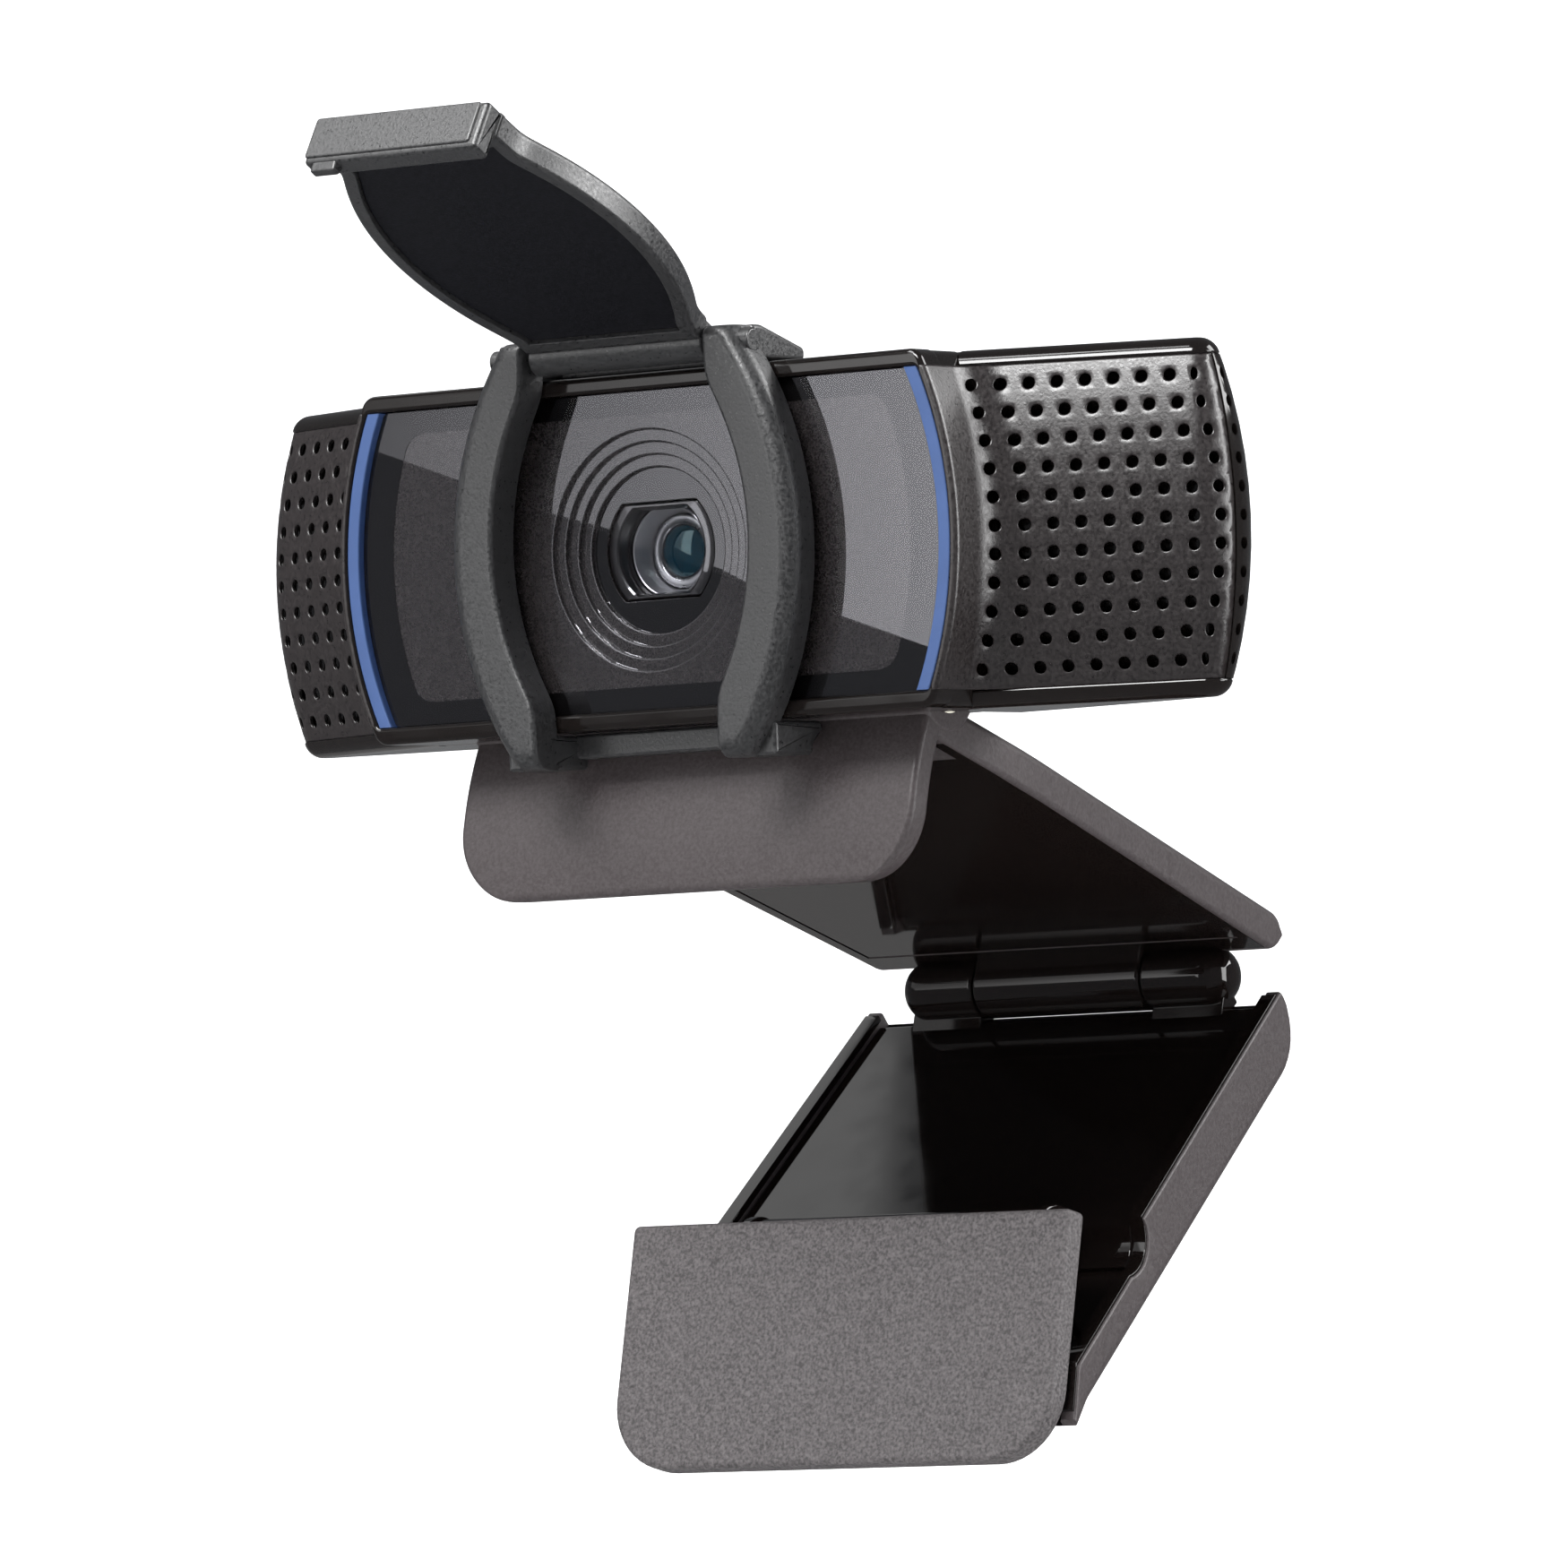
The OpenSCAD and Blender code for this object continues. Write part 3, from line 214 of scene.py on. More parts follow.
def piece(name, shapes, place, body, slot, stands_for=(), look=None, sharp=SHARP):
    """One finished object: closed surfaces joined into a mesh, shaded smooth between edges sharper than the given
    angle, riding on its body and standing for its nodes."""
    mesh = mesh_of(name, [shapes] if isinstance(shapes, tuple) else shapes, place)
    mesh.shade_smooth()
    mesh.set_sharp_from_angle(angle=math.radians(sharp))
    mesh.materials.append(look or looks[slot])
    obj = shown(name, mesh)
    finished.append(obj)
    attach(obj, body)
    if stands_for:
        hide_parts(*([stands_for] if isinstance(stands_for, str) else stands_for))
    return obj


# ---------------------------------------------------------------- finishes

def linear(code):
    """An sRGB hex colour as linear red, green, blue and alpha."""
    c = np.array([int(code[i:i + 2], 16) for i in (1, 3, 5)]) / 255
    c = np.where(c <= 0.04045, c / 12.92, ((c + 0.055) / 1.055) ** 2.4)
    return (*c.tolist(), 1.0)


def add(tree, kind, links=None, **settings):
    """Adds one node: a setting is a property of the node or the value of an input, and a link pairs an input, by name
    or by place, with a socket."""
    node = tree.nodes.new("ShaderNode" + kind)
    for name, value in settings.items():
        if hasattr(node, name):
            setattr(node, name, value)
        else:
            node.inputs[name.replace("_", " ")].default_value = value
    for name, socket in (links or {}).items():
        tree.links.new(socket, node.inputs[name])
    return node


def per_mm(size):
    """Texture scale that gives features of a size in millimetres."""
    return 1 / (size * MM)


def blank(name):
    """A new material with an empty node tree."""
    m = bpy.data.materials.new(name)
    m.use_nodes = True
    m.node_tree.nodes.clear()
    return m, m.node_tree


def finish(name, colour, roughness, tint=None, tint_mm=6, swing=0.0, swing_mm=2.5, grain=(), **shader):
    """A solid finish: a colour that drifts to a second one over tint_mm, a roughness that swings over swing_mm, and
    layers of surface grain, each (pattern, size in mm, height in mm)."""
    m, tree = blank(name)
    spot = add(tree, "TexCoord").outputs["Object"]
    skin_node = add(tree, "BsdfPrincipled", Base_Color=linear(colour), Roughness=roughness, **shader)
    if tint:
        drift = add(tree, "TexNoise", {"Vector": spot}, Scale=per_mm(tint_mm), Detail=4.0)
        blend = add(tree, "ValToRGB", {"Fac": drift.outputs["Fac"]})
        blend.color_ramp.elements[0].position, blend.color_ramp.elements[1].position = 0.35, 0.65
        blend.color_ramp.elements[0].color, blend.color_ramp.elements[1].color = linear(colour), linear(tint)
        tree.links.new(blend.outputs["Color"], skin_node.inputs["Base Color"])
    if swing:
        wear = add(tree, "TexNoise", {"Vector": spot}, Scale=per_mm(swing_mm), Detail=3.0)
        span = add(tree, "MapRange", {"Value": wear.outputs["Fac"]}, From_Min=0.3, From_Max=0.7,
                   To_Min=max(roughness - swing, 0.0), To_Max=min(roughness + swing, 1.0))
        tree.links.new(span.outputs["Result"], skin_node.inputs["Roughness"])
    normal = None
    for pattern, size, height in grain:
        if pattern == "pebble":
            texture = add(tree, "TexVoronoi", {"Vector": spot}, Scale=per_mm(size), feature="SMOOTH_F1")
            level = texture.outputs["Distance"]
        else:
            texture = add(tree, "TexNoise", {"Vector": spot}, Scale=per_mm(size), Detail=3.0)
            level = texture.outputs["Fac"]
        links = {"Height": level}
        if normal:
            links["Normal"] = normal
        normal = add(tree, "Bump", links, Strength=1.0, Distance=height * MM).outputs["Normal"]
    if normal:
        tree.links.new(normal, skin_node.inputs["Normal"])
    add(tree, "OutputMaterial", {"Surface": skin_node.outputs["BSDF"]})
    return m


def clear(name, colour, roughness, strength):
    """A thin clear pane: what lies behind shows through a transparent shader, and a mirror shader lies over its outer
    face by the angle of sight."""
    m, tree = blank(name)
    inside = add(tree, "NewGeometry").outputs["Backfacing"]
    share = add(tree, "Fresnel", IOR=strength).outputs["Fac"]
    outer = add(tree, "Math", {0: share, 1: inside}, operation="SUBTRACT", use_clamp=True)
    through = add(tree, "BsdfTransparent", Color=linear(colour)).outputs["BSDF"]
    mirror = add(tree, "BsdfGlossy", Roughness=roughness).outputs["BSDF"]
    pane = add(tree, "MixShader", {"Fac": outer.outputs["Value"], 1: through, 2: mirror})
    add(tree, "OutputMaterial", {"Surface": pane.outputs["Shader"]})
    return m


# the clear pane's sharp reflection, carried by the dark faces right behind it
BEHIND_PANE = dict(Coat_Weight=1.0, Coat_Roughness=0.0, Coat_IOR=1.95)

# real moulding grain is finer than these patterns: it is drawn at about a quarter of a millimetre, so that it shows
looks = {
    # polished ABS out of a mirror-bright mould: warm near-black with sharp reflections
    "shell_gloss": finish("polished black ABS", "#110e0d", 0.1, swing=0.03, swing_mm=5, grain=[("noise", 7, 0.006)]),
    # spark-eroded polycarbonate: warm dark grey, a fine even tooth and a broad soft sheen
    "grille_plastic": finish("spark-eroded grey polycarbonate", "#171313", 0.35, tint="#241f1f", tint_mm=0.3,
                             swing=0.08, swing_mm=0.3, Specular_IOR_Level=0.85, grain=[("noise", 0.26, 0.018)]),
    # hard-coated acrylic: all but invisible, as the faces behind it carry its reflection
    "window_glass": clear("hard-coated clear acrylic", "#f6f6f8", 0.0, 1.15),
    # translucent blue polycarbonate light guide: an even saturated blue with a satin face
    "light_strip": finish("blue satin polycarbonate", "#304670", 0.42, tint="#334a76", tint_mm=4,
                          grain=[("noise", 0.2, 0.004)]),
    # moulded ABS with a coarse tooth behind the pane: charcoal with tiny light specks under a mirror
    "surround_plastic": finish("coarse-moulded charcoal ABS", "#171413", 0.5, tint="#2b2726", tint_mm=0.15,
                               Specular_IOR_Level=0.3, grain=[("noise", 0.2, 0.02)], **BEHIND_PANE),
    # polished polycarbonate round the lens: near-black with a bright sharp rim of light
    "bezel_gloss": finish("polished black polycarbonate", "#121010", 0.3, swing=0.03, Coat_Weight=1.0,
                          Coat_Roughness=0.02, Coat_IOR=1.95, grain=[("noise", 5, 0.002)]),
    # multi-coated optical glass: deep blue-green, with a second reflection from the element behind
    "lens_glass": finish("coated optical glass", "#062430", 0.03, Coat_Weight=1.0, Coat_Roughness=0.02,
                         Specular_Tint=linear("#39c6c0")),
    # satin chrome: a thin pale ring that turns from white to grey round the lens
    "ring_chrome": finish("satin chrome plate", "#a3a4a6", 0.3, Metallic=1.0, swing=0.05, swing_mm=0.8),
    # filled nylon: matt black that lets the ring and the glass stand out
    "lens_plastic": finish("matt black filled nylon", "#17171a", 0.45, grain=[("noise", 0.3, 0.01)]),
    # enamelled wire: a warm coppery glint
    "coil_copper": finish("enamelled copper wire", "#b06a34", 0.3, Metallic=1.0, grain=[("noise", 0.3, 0.02)]),
    # solder resist: an even satin green, a little uneven over the copper below
    "board_resin": finish("green solder resist", "#1f5a3a", 0.35, tint="#246343", grain=[("noise", 0.8, 0.01)]),
    # moulded epoxy: dull slate grey
    "component_black": finish("moulded epoxy package", "#26282c", 0.55, grain=[("noise", 0.2, 0.01)]),
    # gold-flashed can: pale yellow with soft smears
    "microphone_metal": finish("gold-flashed brass can", "#c9b06a", 0.3, Metallic=1.0, swing=0.08),
    # blasted zinc casting: an even sparkling mid grey
    "housing_metal": finish("cast zinc, bead-blasted", "#8c8f94", 0.42, Metallic=1.0, grain=[("noise", 0.25, 0.01)]),
    # zinc plate: bright cool grey with soft uneven reflections
    "steel": finish("bright zinc-plated steel", "#a9abae", 0.28, Metallic=1.0, swing=0.08,
                    grain=[("noise", 0.4, 0.004)]),
    # unpigmented acetal: waxy off-white
    "bush_plastic": finish("natural acetal", "#d8d4c4", 0.4, swing=0.05, grain=[("noise", 0.5, 0.005)]),
    # nitrile rubber: dull black
    "gland_rubber": finish("black nitrile rubber", "#161616", 0.62, grain=[("noise", 0.3, 0.015)]),
    # fine-textured ABS: neutral near-black with a strong silky sheen
    "shutter_plastic": finish("fine-textured charcoal ABS", "#19191a", 0.4, tint="#2b2b2c", tint_mm=0.28, swing=0.13,
                              swing_mm=0.28, Specular_IOR_Level=1.0, grain=[("noise", 0.26, 0.018)]),
    # soft-touch lining: near-black navy that hardly reflects
    "lining_plastic": finish("navy soft-touch coating", "#0a0a0f", 0.6, tint="#111117", tint_mm=0.3,
                             Specular_IOR_Level=0.25, grain=[("noise", 0.18, 0.012)]),
    # fine-textured ABS of the clip: warm grey with a satin sheen
    "clip_plastic": finish("fine-textured warm grey ABS", "#332d2e", 0.45, tint="#3e393a", tint_mm=0.3, swing=0.05,
                           swing_mm=0.5, grain=[("noise", 0.26, 0.024)]),
    # mirror-polished ABS: black, with reflections that waver very slightly
    "panel_gloss": finish("polished black ABS panel", "#0f0b0a", 0.06, swing=0.02, swing_mm=4,
                          grain=[("noise", 8, 0.0008)]),
    # turned brass: yellow with a soft metal glint
    "insert_brass": finish("turned brass", "#b79a5a", 0.3, Metallic=1.0, swing=0.06, grain=[("noise", 0.2, 0.01)]),
    # thermoplastic rubber with a leather-like grain: mid grey, soft and dull
    "foot_rubber": finish("leather-grained thermoplastic rubber", "#333031", 0.62, tint="#565253", tint_mm=0.26,
                          swing=0.05, grain=[("pebble", 0.5, 0.08), ("noise", 0.28, 0.06)]),
}


# ---------------------------------------------------------------- the head's form

HALF_H = 14.5
RIM = 13.1
BULGE = 45.0
SLOPE = math.radians(20.5)
ALONG, OUT = np.array([math.cos(SLOPE), math.sin(SLOPE)]), np.array([math.sin(SLOPE), -math.cos(SLOPE)])
WING_AT, WING_LEN, END_R, HEAD_BACK = np.array([31.9, 5.13]), 16.05, 4.0, 23.4
END_AT = WING_AT + ALONG * WING_LEN - OUT * END_R
REAR_GAP = HEAD_BACK - END_AT[1]
REAR_R = (END_AT[0] ** 2 + REAR_GAP ** 2 - END_R ** 2) / (2 * (REAR_GAP - END_R))
REAR_TURN = math.atan2(END_AT[1] - HEAD_BACK + REAR_R, END_AT[0])
SKIRT_R, SKIRT_BACK = 32.75, 6.92
GRILLE_END = WING_LEN + math.pi / 3 * END_R
RIM_ROUND = 1.1
FLANK_R, BLEND_R, BROW_R, BROW_Y = 33.67, 3.8, 0.55, -0.39
BLEND_TURN = math.pi / 2 - SLOPE


def belly(z):
    """How far the head's side walls lie inside their mid-height plan: the sag of an arc of radius BULGE."""
    return BULGE - np.sqrt(BULGE ** 2 - np.asarray(z, float) ** 2)


def wing_wall(s, z, depth):
    """A point of one wing's face: s runs along the wing and on round its end, z is the height, and the point lies
    depth under a face that is bellied by an arc."""
    s, z, depth = np.broadcast_arrays(np.asarray(s, float), z, depth)
    turn = np.clip((s - WING_LEN) / END_R, 0, None) + SLOPE
    nx, ny = np.sin(turn), -np.cos(turn)
    run = np.minimum(s, WING_LEN)
    x = WING_AT[0] + run * ALONG[0] - OUT[0] * END_R + nx * END_R
    y = WING_AT[1] + run * ALONG[1] - OUT[1] * END_R + ny * END_R
    t = np.minimum(belly(z) + depth, END_R - 0.02)
    return np.stack([x - nx * t, y - ny * t, z], -1)


def hollow_start(z):
    """The frame's flank at a height, and how far along the wing the hollow that meets it starts."""
    flank = np.sqrt(FLANK_R ** 2 - z ** 2) - LEAD
    return flank, (flank + BLEND_R * (1 - OUT[0]) - WING_AT[0] + OUT[0] * belly(z)) / ALONG[0]


def wing_face(s, z, depth):
    """The wing's face with the hollow that joins it to the front frame: past the line where the hollow starts, s runs
    on round an arc of radius BLEND_R, up the frame's flank and over its rounded brow."""
    s, z, depth = np.broadcast_arrays(np.asarray(s, float), z, depth)
    flank, start = hollow_start(z)
    foot = wing_wall(start, z, 0)
    cx, cy = foot[..., 0] + OUT[0] * BLEND_R, foot[..., 1] + OUT[1] * BLEND_R
    turn = np.clip((start - s) / BLEND_R, 0, BLEND_TURN)
    a = math.pi / 2 + SLOPE + turn
    hollow = np.stack([cx + (BLEND_R + depth) * np.cos(a), cy + (BLEND_R + depth) * np.sin(a), z], -1)
    climb = np.clip(start - s - BLEND_R * BLEND_TURN, 0, None)
    wall = cy - (BROW_Y + BROW_R)
    over = np.clip((climb - wall) / BROW_R, 0, math.pi / 2)
    past = np.clip(climb - wall - BROW_R * math.pi / 2, 0, None)
    r = BROW_R - depth
    brow = np.stack([flank - BROW_R + r * np.cos(over) - past,
                     np.where(climb < wall, cy - climb, BROW_Y + BROW_R - r * np.sin(over)), z], -1)
    level = np.where((turn < BLEND_TURN)[..., None], hollow, brow)
    return np.where((s >= start)[..., None], wing_wall(s, z, depth), level)


def shell_ring(z, inward, recess):
    """The shell's outline at a height: behind the front frame and 0.1 clear of its skirt, along a wing, round its end
    and along the bowed rear to the middle, then mirrored; inward draws it all in, and recess draws in the part that a
    grille covers."""
    x0 = math.sqrt(SKIRT_R ** 2 - z ** 2) - LEAD + 0.1
    lay = inward + recess
    s0 = (x0 - WING_AT[0] + OUT[0] * (lay + belly(z))) / ALONG[0]
    wing = np.concatenate([np.linspace(s0, WING_LEN, 7)[:-1], np.linspace(WING_LEN, GRILLE_END, 12)])
    covered = wing_wall(wing, z, lay)
    end_turn = np.linspace((GRILLE_END - WING_LEN) / END_R + SLOPE, REAR_TURN + math.pi / 2, 9)
    bare = wing_wall(WING_LEN + (end_turn - SLOPE) * END_R, z, inward)
    b = np.linspace(REAR_TURN, math.pi / 2, 16)[1:]
    r = REAR_R - belly(z) - inward
    rear = np.stack([r * np.cos(b), HEAD_BACK - REAR_R + r * np.sin(b), np.full(len(b), float(z))], -1)
    front = np.array([[0, SKIRT_BACK + inward, z], [x0 - 0.05, SKIRT_BACK + inward, z]])
    half = np.concatenate([front, covered, bare, rear])
    return np.concatenate([half, half[1:-1][::-1] * (-1, 1, 1)])


def rear_shell():
    """The shell as outlines stacked by height: the rims are full, rounded by quarter circles, and between them the
    outline steps in under the grilles."""
    rows = [(HALF_H, RIM_ROUND + HOLD, 0)]
    t = np.linspace(0, math.pi / 2, 10)
    rows += [(HALF_H - RIM_ROUND * (1 - math.cos(q)), RIM_ROUND * (1 - math.sin(q)), 0) for q in t]
    rows += [(13.36, 0, 0), (RIM + 0.2, 0, 0), (RIM + 0.12, 0.03, 0), (RIM + 0.02, 0.12, 0), (RIM, 0.2, 0)]
    rows += [(RIM, 0.2, 1.5), (RIM - 0.02, 0.02, 1.68)]
    rows += [(z, 0, 1.7) for z in (12.2, 10, 7.5, 5, 2.5, 0)]
    rows += [(-z, e, r) for z, e, r in rows[:-1][::-1]]
    return skin(np.stack([shell_ring(*row) for row in rows]))


def cut(obj, shapes, place):
    """Takes closed shapes, in millimetres, out of a piece."""
    tool = shown("cutter", mesh_of("cutter", shapes, place))
    boolean = obj.modifiers.new("cut", "BOOLEAN")
    boolean.operation, boolean.solver, boolean.object = "DIFFERENCE", "EXACT", tool
    bpy.context.view_layer.update()
    deps = bpy.context.evaluated_depsgraph_get()
    mesh = bpy.data.meshes.new_from_object(obj.evaluated_get(deps), depsgraph=deps)
    obj.modifiers.clear()
    old, obj.data = obj.data, mesh
    mesh.name = obj.name
    bpy.data.meshes.remove(old)
    bpy.data.objects.remove(tool)
    mesh.shade_smooth()
    mesh.set_sharp_from_angle(angle=math.radians(SHARP))


PITCH_S, PITCH_Z, COLUMNS, ROWS_HALF, HOLE_R, SET = 2.35, 2.3, 9, 5, 0.5, 0.12
BEVEL_R = 0.62  # mm, the holes' bevel where it meets the grille's face
COLUMN_BOW = 67  # mm, twice the radius of the bowed lines of holes
LAST_S = WING_LEN + math.radians(74) * END_R

shell = piece("shell_body", rear_shell(), HEAD, "head", "shell_gloss", "rear_shell")
TILT_AT, BAY_R, BAY_W = (9.4, -12.4), 4.6, 23.7
# behind the bay the shell's underside is relieved along the arm's top face, at the head's furthest tilt back
fall, tilt_pivot = math.radians(19.2), placed((0, *TILT_AT), HEAD)
arm_below = math.sin(fall) * tilt_pivot[1] + math.cos(fall) * tilt_pivot[2] - 3.3 - 0.2
relief_box = np.array(box(0, -60, 60, 0), float) - (0, arm_below)
relief = skin(np.stack([upright(relief_box, x, "x") for x in (-BAY_W - 0.2, BAY_W + 0.2)]))
cut(shell, [turned([(-BAY_W, BAY_R), (BAY_W, BAY_R)], "x", 64, TILT_AT)], HEAD)
hole_a = np.linspace(0, 2 * math.pi, 20, endpoint=False)
side_holes = [skin(wing_wall(LAST_S + HOLE_R * np.cos(hole_a), r * PITCH_Z + HOLE_R * np.sin(hole_a),
                             np.array([[-0.6], [2.6]]))) for r in range(-ROWS_HALF, ROWS_HALF + 1)]
rear_screw = [turned([(19, 1.5), (30, 1.5)], "y", 32, (27.3, z)) for z in (-10.9, 10.9)]
cut(shell, [shape for hole in side_holes + rear_screw for shape in both(hole)], HEAD)
cut(shell, [relief], (tilt_pivot, 15 - 19.2))


# ---------------------------------------------------------------- grilles

def brow_end(z):
    """How far along the wing's face the sheet reaches over the frame's brow, at a height."""
    z = np.asarray(z, float)
    start = hollow_start(z)[1]
    wall = wing_wall(start, z, 0)[..., 1] + OUT[1] * BLEND_R - BROW_Y - BROW_R
    return start - BLEND_R * BLEND_TURN - wall - BROW_R * math.pi / 2 - 0.22


def side_s(part, z, first):
    """Spreads the flank's rows between the brow's inner line and the first column's line."""
    k = (part - part[0]) / (part[-1] - part[0])
    return brow_end(z) * (1 - k) + first * k


def column_line(c, z):
    """Where the line between column c - 1 and column c crosses a height: columns follow the front frame's bowed side,
    and the last line is straight."""
    return np.where(c >= COLUMNS, GRILLE_END - 0.12, (c - 0.5) * PITCH_S - z ** 2 / COLUMN_BOW)


def grille():
    """A perforated sheet: square cells between bowed column lines, each a hole's rim of three rings and a ring halfway
    out to the cell's own square, wrapped over the wing's face; plain strips close it at the frame and under the
    rims."""
    corner = np.array([(1, 0), (1, 0.5), (1, 1), (0.5, 1), (0, 1), (-0.5, 1), (-1, 1), (-1, 0.5)], float)
    square = np.concatenate([corner, -corner])
    angle = np.arctan2(square[:, 1], square[:, 0])
    circle = np.stack([np.cos(angle), np.sin(angle)], -1)
    c, r = np.meshgrid(np.arange(COLUMNS), np.arange(-ROWS_HALF, ROWS_HALF + 1), indexing="ij")
    c, z = c.ravel()[:, None], r.ravel()[:, None] * PITCH_Z
    s = c * PITCH_S - z ** 2 / COLUMN_BOW
    rim_z = z + square[:, 1] * PITCH_Z / 2
    left, right = column_line(c, rim_z), column_line(c + 1, rim_z)
    rim_s = (left + right) / 2 + square[:, 0] * (right - left) / 2
    rings = [wing_face(rim_s, rim_z, SET)]
    hs, hz = s + circle[:, 0] * BEVEL_R, z + circle[:, 1] * BEVEL_R
    rings.append(wing_face((rim_s + hs) / 2, (rim_z + hz) / 2, SET))
    for radius, depth in ((BEVEL_R, SET), (0.54, SET + 0.04), (HOLE_R, SET + 0.14)):
        rings.append(wing_face(s + circle[:, 0] * radius, z + circle[:, 1] * radius, depth))
    shapes = [skin(cell, caps=False) for cell in np.stack(rings, 1)]
    flank = np.concatenate([np.linspace(-5.25, -4.2, 10), np.linspace(-4.0, 0, 24)])[:, None]
    z_lines = np.arange(-ROWS_HALF - 0.5, ROWS_HALF + 0.75, 0.25) * PITCH_Z
    first = column_line(np.zeros(1), z_lines)
    shapes.append(skin(wing_face(side_s(flank, z_lines, first), z_lines, SET), around=False, caps=False))
    for sign in (-1, 1):
        edge = z_lines[-1] * sign
        cs = np.arange(0, COLUMNS + 0.01, 0.25)
        low = np.floor(cs).clip(0, COLUMNS - 1)
        line = column_line(low, edge) * (1 - cs + low) + column_line(low + 1, edge) * (cs - low)
        line = np.concatenate([side_s(flank, edge, line[0])[:-1, 0], line])
        band = wing_face(line, edge + np.array([[0], [0.28], [0.44]]) * sign, SET)
        shapes.append(skin(band if sign > 0 else band[::-1], around=False, caps=False))
    return shapes


def grille_piece(name, side, stands_for):
    """One wing's grille: the perforated sheet with its outer face outward, given its wall by Solidify."""
    shapes = [(p * (side, 1, 1), f) for p, f in grille()]
    obj = piece(name, shapes, HEAD, "head", "grille_plastic", stands_for, sharp=50)
    mesh = obj.data
    normal, area = np.zeros(len(mesh.polygons) * 3), np.zeros(len(mesh.polygons))
    mesh.polygons.foreach_get("normal", normal)
    mesh.polygons.foreach_get("area", area)
    if (normal.reshape(-1, 3)[:, 1] * area).sum() > 0:
        mesh.flip_normals()
    wall = obj.modifiers.new("wall", "SOLIDIFY")
    wall.thickness, wall.offset, wall.use_even_offset = 0.5 * MM, -1.0, False
    return obj


grille_piece("grille_right", 1, "right_grille")
grille_piece("grille_left", -1, "left_grille")


# ---------------------------------------------------------------- front frame, strips and window

def frame_rings():
    """The front frame's section carried round bowed outlines: inner wall, soft front lip, rounded outer edge, flange
    and, half a step in, the skirt that goes back to the shell."""
    t = np.linspace(0, math.pi / 2, 6)
    rows = [(32.76, 13.08, 0.5, 2.3), (32.76, 13.08, 0.5, 0.05), (32.8, 13.12, 0.55, -0.1), (32.9, 13.22, 0.65, -0.2),
            (33.02, 13.34, 0.8, -0.25), (33.06, 13.38, 0.8, -0.25)]
    rows += [(33.06, 14.0 - HOLD, 1.0, -0.25), (33.06, 14.0, 1.0, -0.25)]
    rows += [(33.06 + 0.44 * math.sin(q), 14.0 + 0.5 * math.sin(q), 1.0 + 0.4 * math.sin(q), 0.25 - 0.5 * math.cos(q))
             for q in t]
    rows += [(33.5, HALF_H, 1.4, 0.3), (33.5, HALF_H, 1.4, 2.1), (33.45, HALF_H, 1.35, 2.25), (33.3, HALF_H, 1.2, 2.35),
             (SKIRT_R, HALF_H, 1.0, 2.36), (SKIRT_R, HALF_H, 1.0, 2.5), (SKIRT_R, HALF_H, 1.0, SKIRT_BACK - 0.12),
             (31.0, 12.9, 0.6, SKIRT_BACK - 0.12), (31.0, 12.9, 0.6, 2.3)]
    return skin(np.stack([upright(bow(r, h, c), y, "y") for r, h, c, y in rows]), along=True)


piece("frame_front", frame_rings(), HEAD, "head", "shell_gloss", "front_frame")
piece("window_pane", slab(bow(31.52, 13.02, 0.45), 0.0, 0.55, 0.08), HEAD, "head", "window_glass", "front_window")


def light_strip(side):
    """A light guide: a small rounded section carried along an arc of the frame's bowed side."""
    section = rounded([(31.57, 1.9), (31.57, -0.1), (32.72, -0.1), (32.72, 1.9)][::-1], 0.12, 4)
    rows = []
    for k in np.linspace(-1, 1, 49):
        q = k * np.arcsin(13.03 / section[:, 0])
        rows.append(np.stack([side * (section[:, 0] * np.cos(q) - LEAD), section[:, 1], section[:, 0] * np.sin(q)], -1))
    return skin(np.stack(rows))


piece("light_guide_right", light_strip(1), HEAD, "head", "light_strip", "right_light_strip")
piece("light_guide_left", light_strip(-1), HEAD, "head", "light_strip", "left_light_strip")


def polar(side_r, half_h, angle):
    """Radius of a bowed outline at an angle: the smaller of its flat's and its bowed side's, blended at the corner."""
    soft = 26.0
    c, s = np.abs(np.cos(angle)), np.abs(np.sin(angle)) + 1e-9
    bowed = -LEAD * c + np.sqrt(side_r ** 2 - (LEAD * s) ** 2)
    return (bowed ** -soft + (half_h / s) ** -soft) ** (-1 / soft)


def rim_grid(rows, cols=240):
    """Outlines given by radius against angle, each set at its own depth."""
    a = np.linspace(0, 2 * math.pi, cols, endpoint=False)
    return np.stack([np.stack([r(a) * np.cos(a), np.full(cols, y), r(a) * np.sin(a)], -1) for r, y in rows])


STEP_R, STEP_W, STEP_D, STEPS = 9.9, 1.02, 0.42, 4


def surround():
    """The plate behind the window: flat out to the frame, with four round steps down to the lens's bezel; each step
    has a rounded brow, a wall and a flat."""
    rows = [(lambda a: polar(31.5, 13.0, a), 2.0), (lambda a: polar(31.5, 13.0, a), 0.66),
            (lambda a: polar(31.45, 12.95, a), 0.6)]
    steps = []
    for k in range(STEPS):
        r, y = STEP_R - k * STEP_W, 0.6 + k * STEP_D
        steps += [(r + 0.12, y), (r + 0.08, y), (r + 0.02, y + 0.03), (r, y + 0.09), (r - 0.02, y + STEP_D - 0.03),
                  (r - 0.06, y + STEP_D)]
    steps += [(5.62, 0.6 + STEPS * STEP_D), (5.56, 0.62 + STEPS * STEP_D)]
    rows += [(lambda a, r=r: np.full(a.shape, r), y) for r, y in steps]
    flat = lambda a: np.minimum(5.55, 4.05 / (np.abs(np.sin(a)) + 1e-9))
    rows += [(flat, 0.6 + STEPS * STEP_D + 0.1), (flat, 3.5), (lambda a: np.full(a.shape, 11.0), 3.5),
             (lambda a: np.full(a.shape, 11.0), 2.0)]
    return skin(rim_grid(rows), along=True)


piece("plate_and_steps", surround(), HEAD, "head", "surround_plastic", "lens_surround", sharp=28)


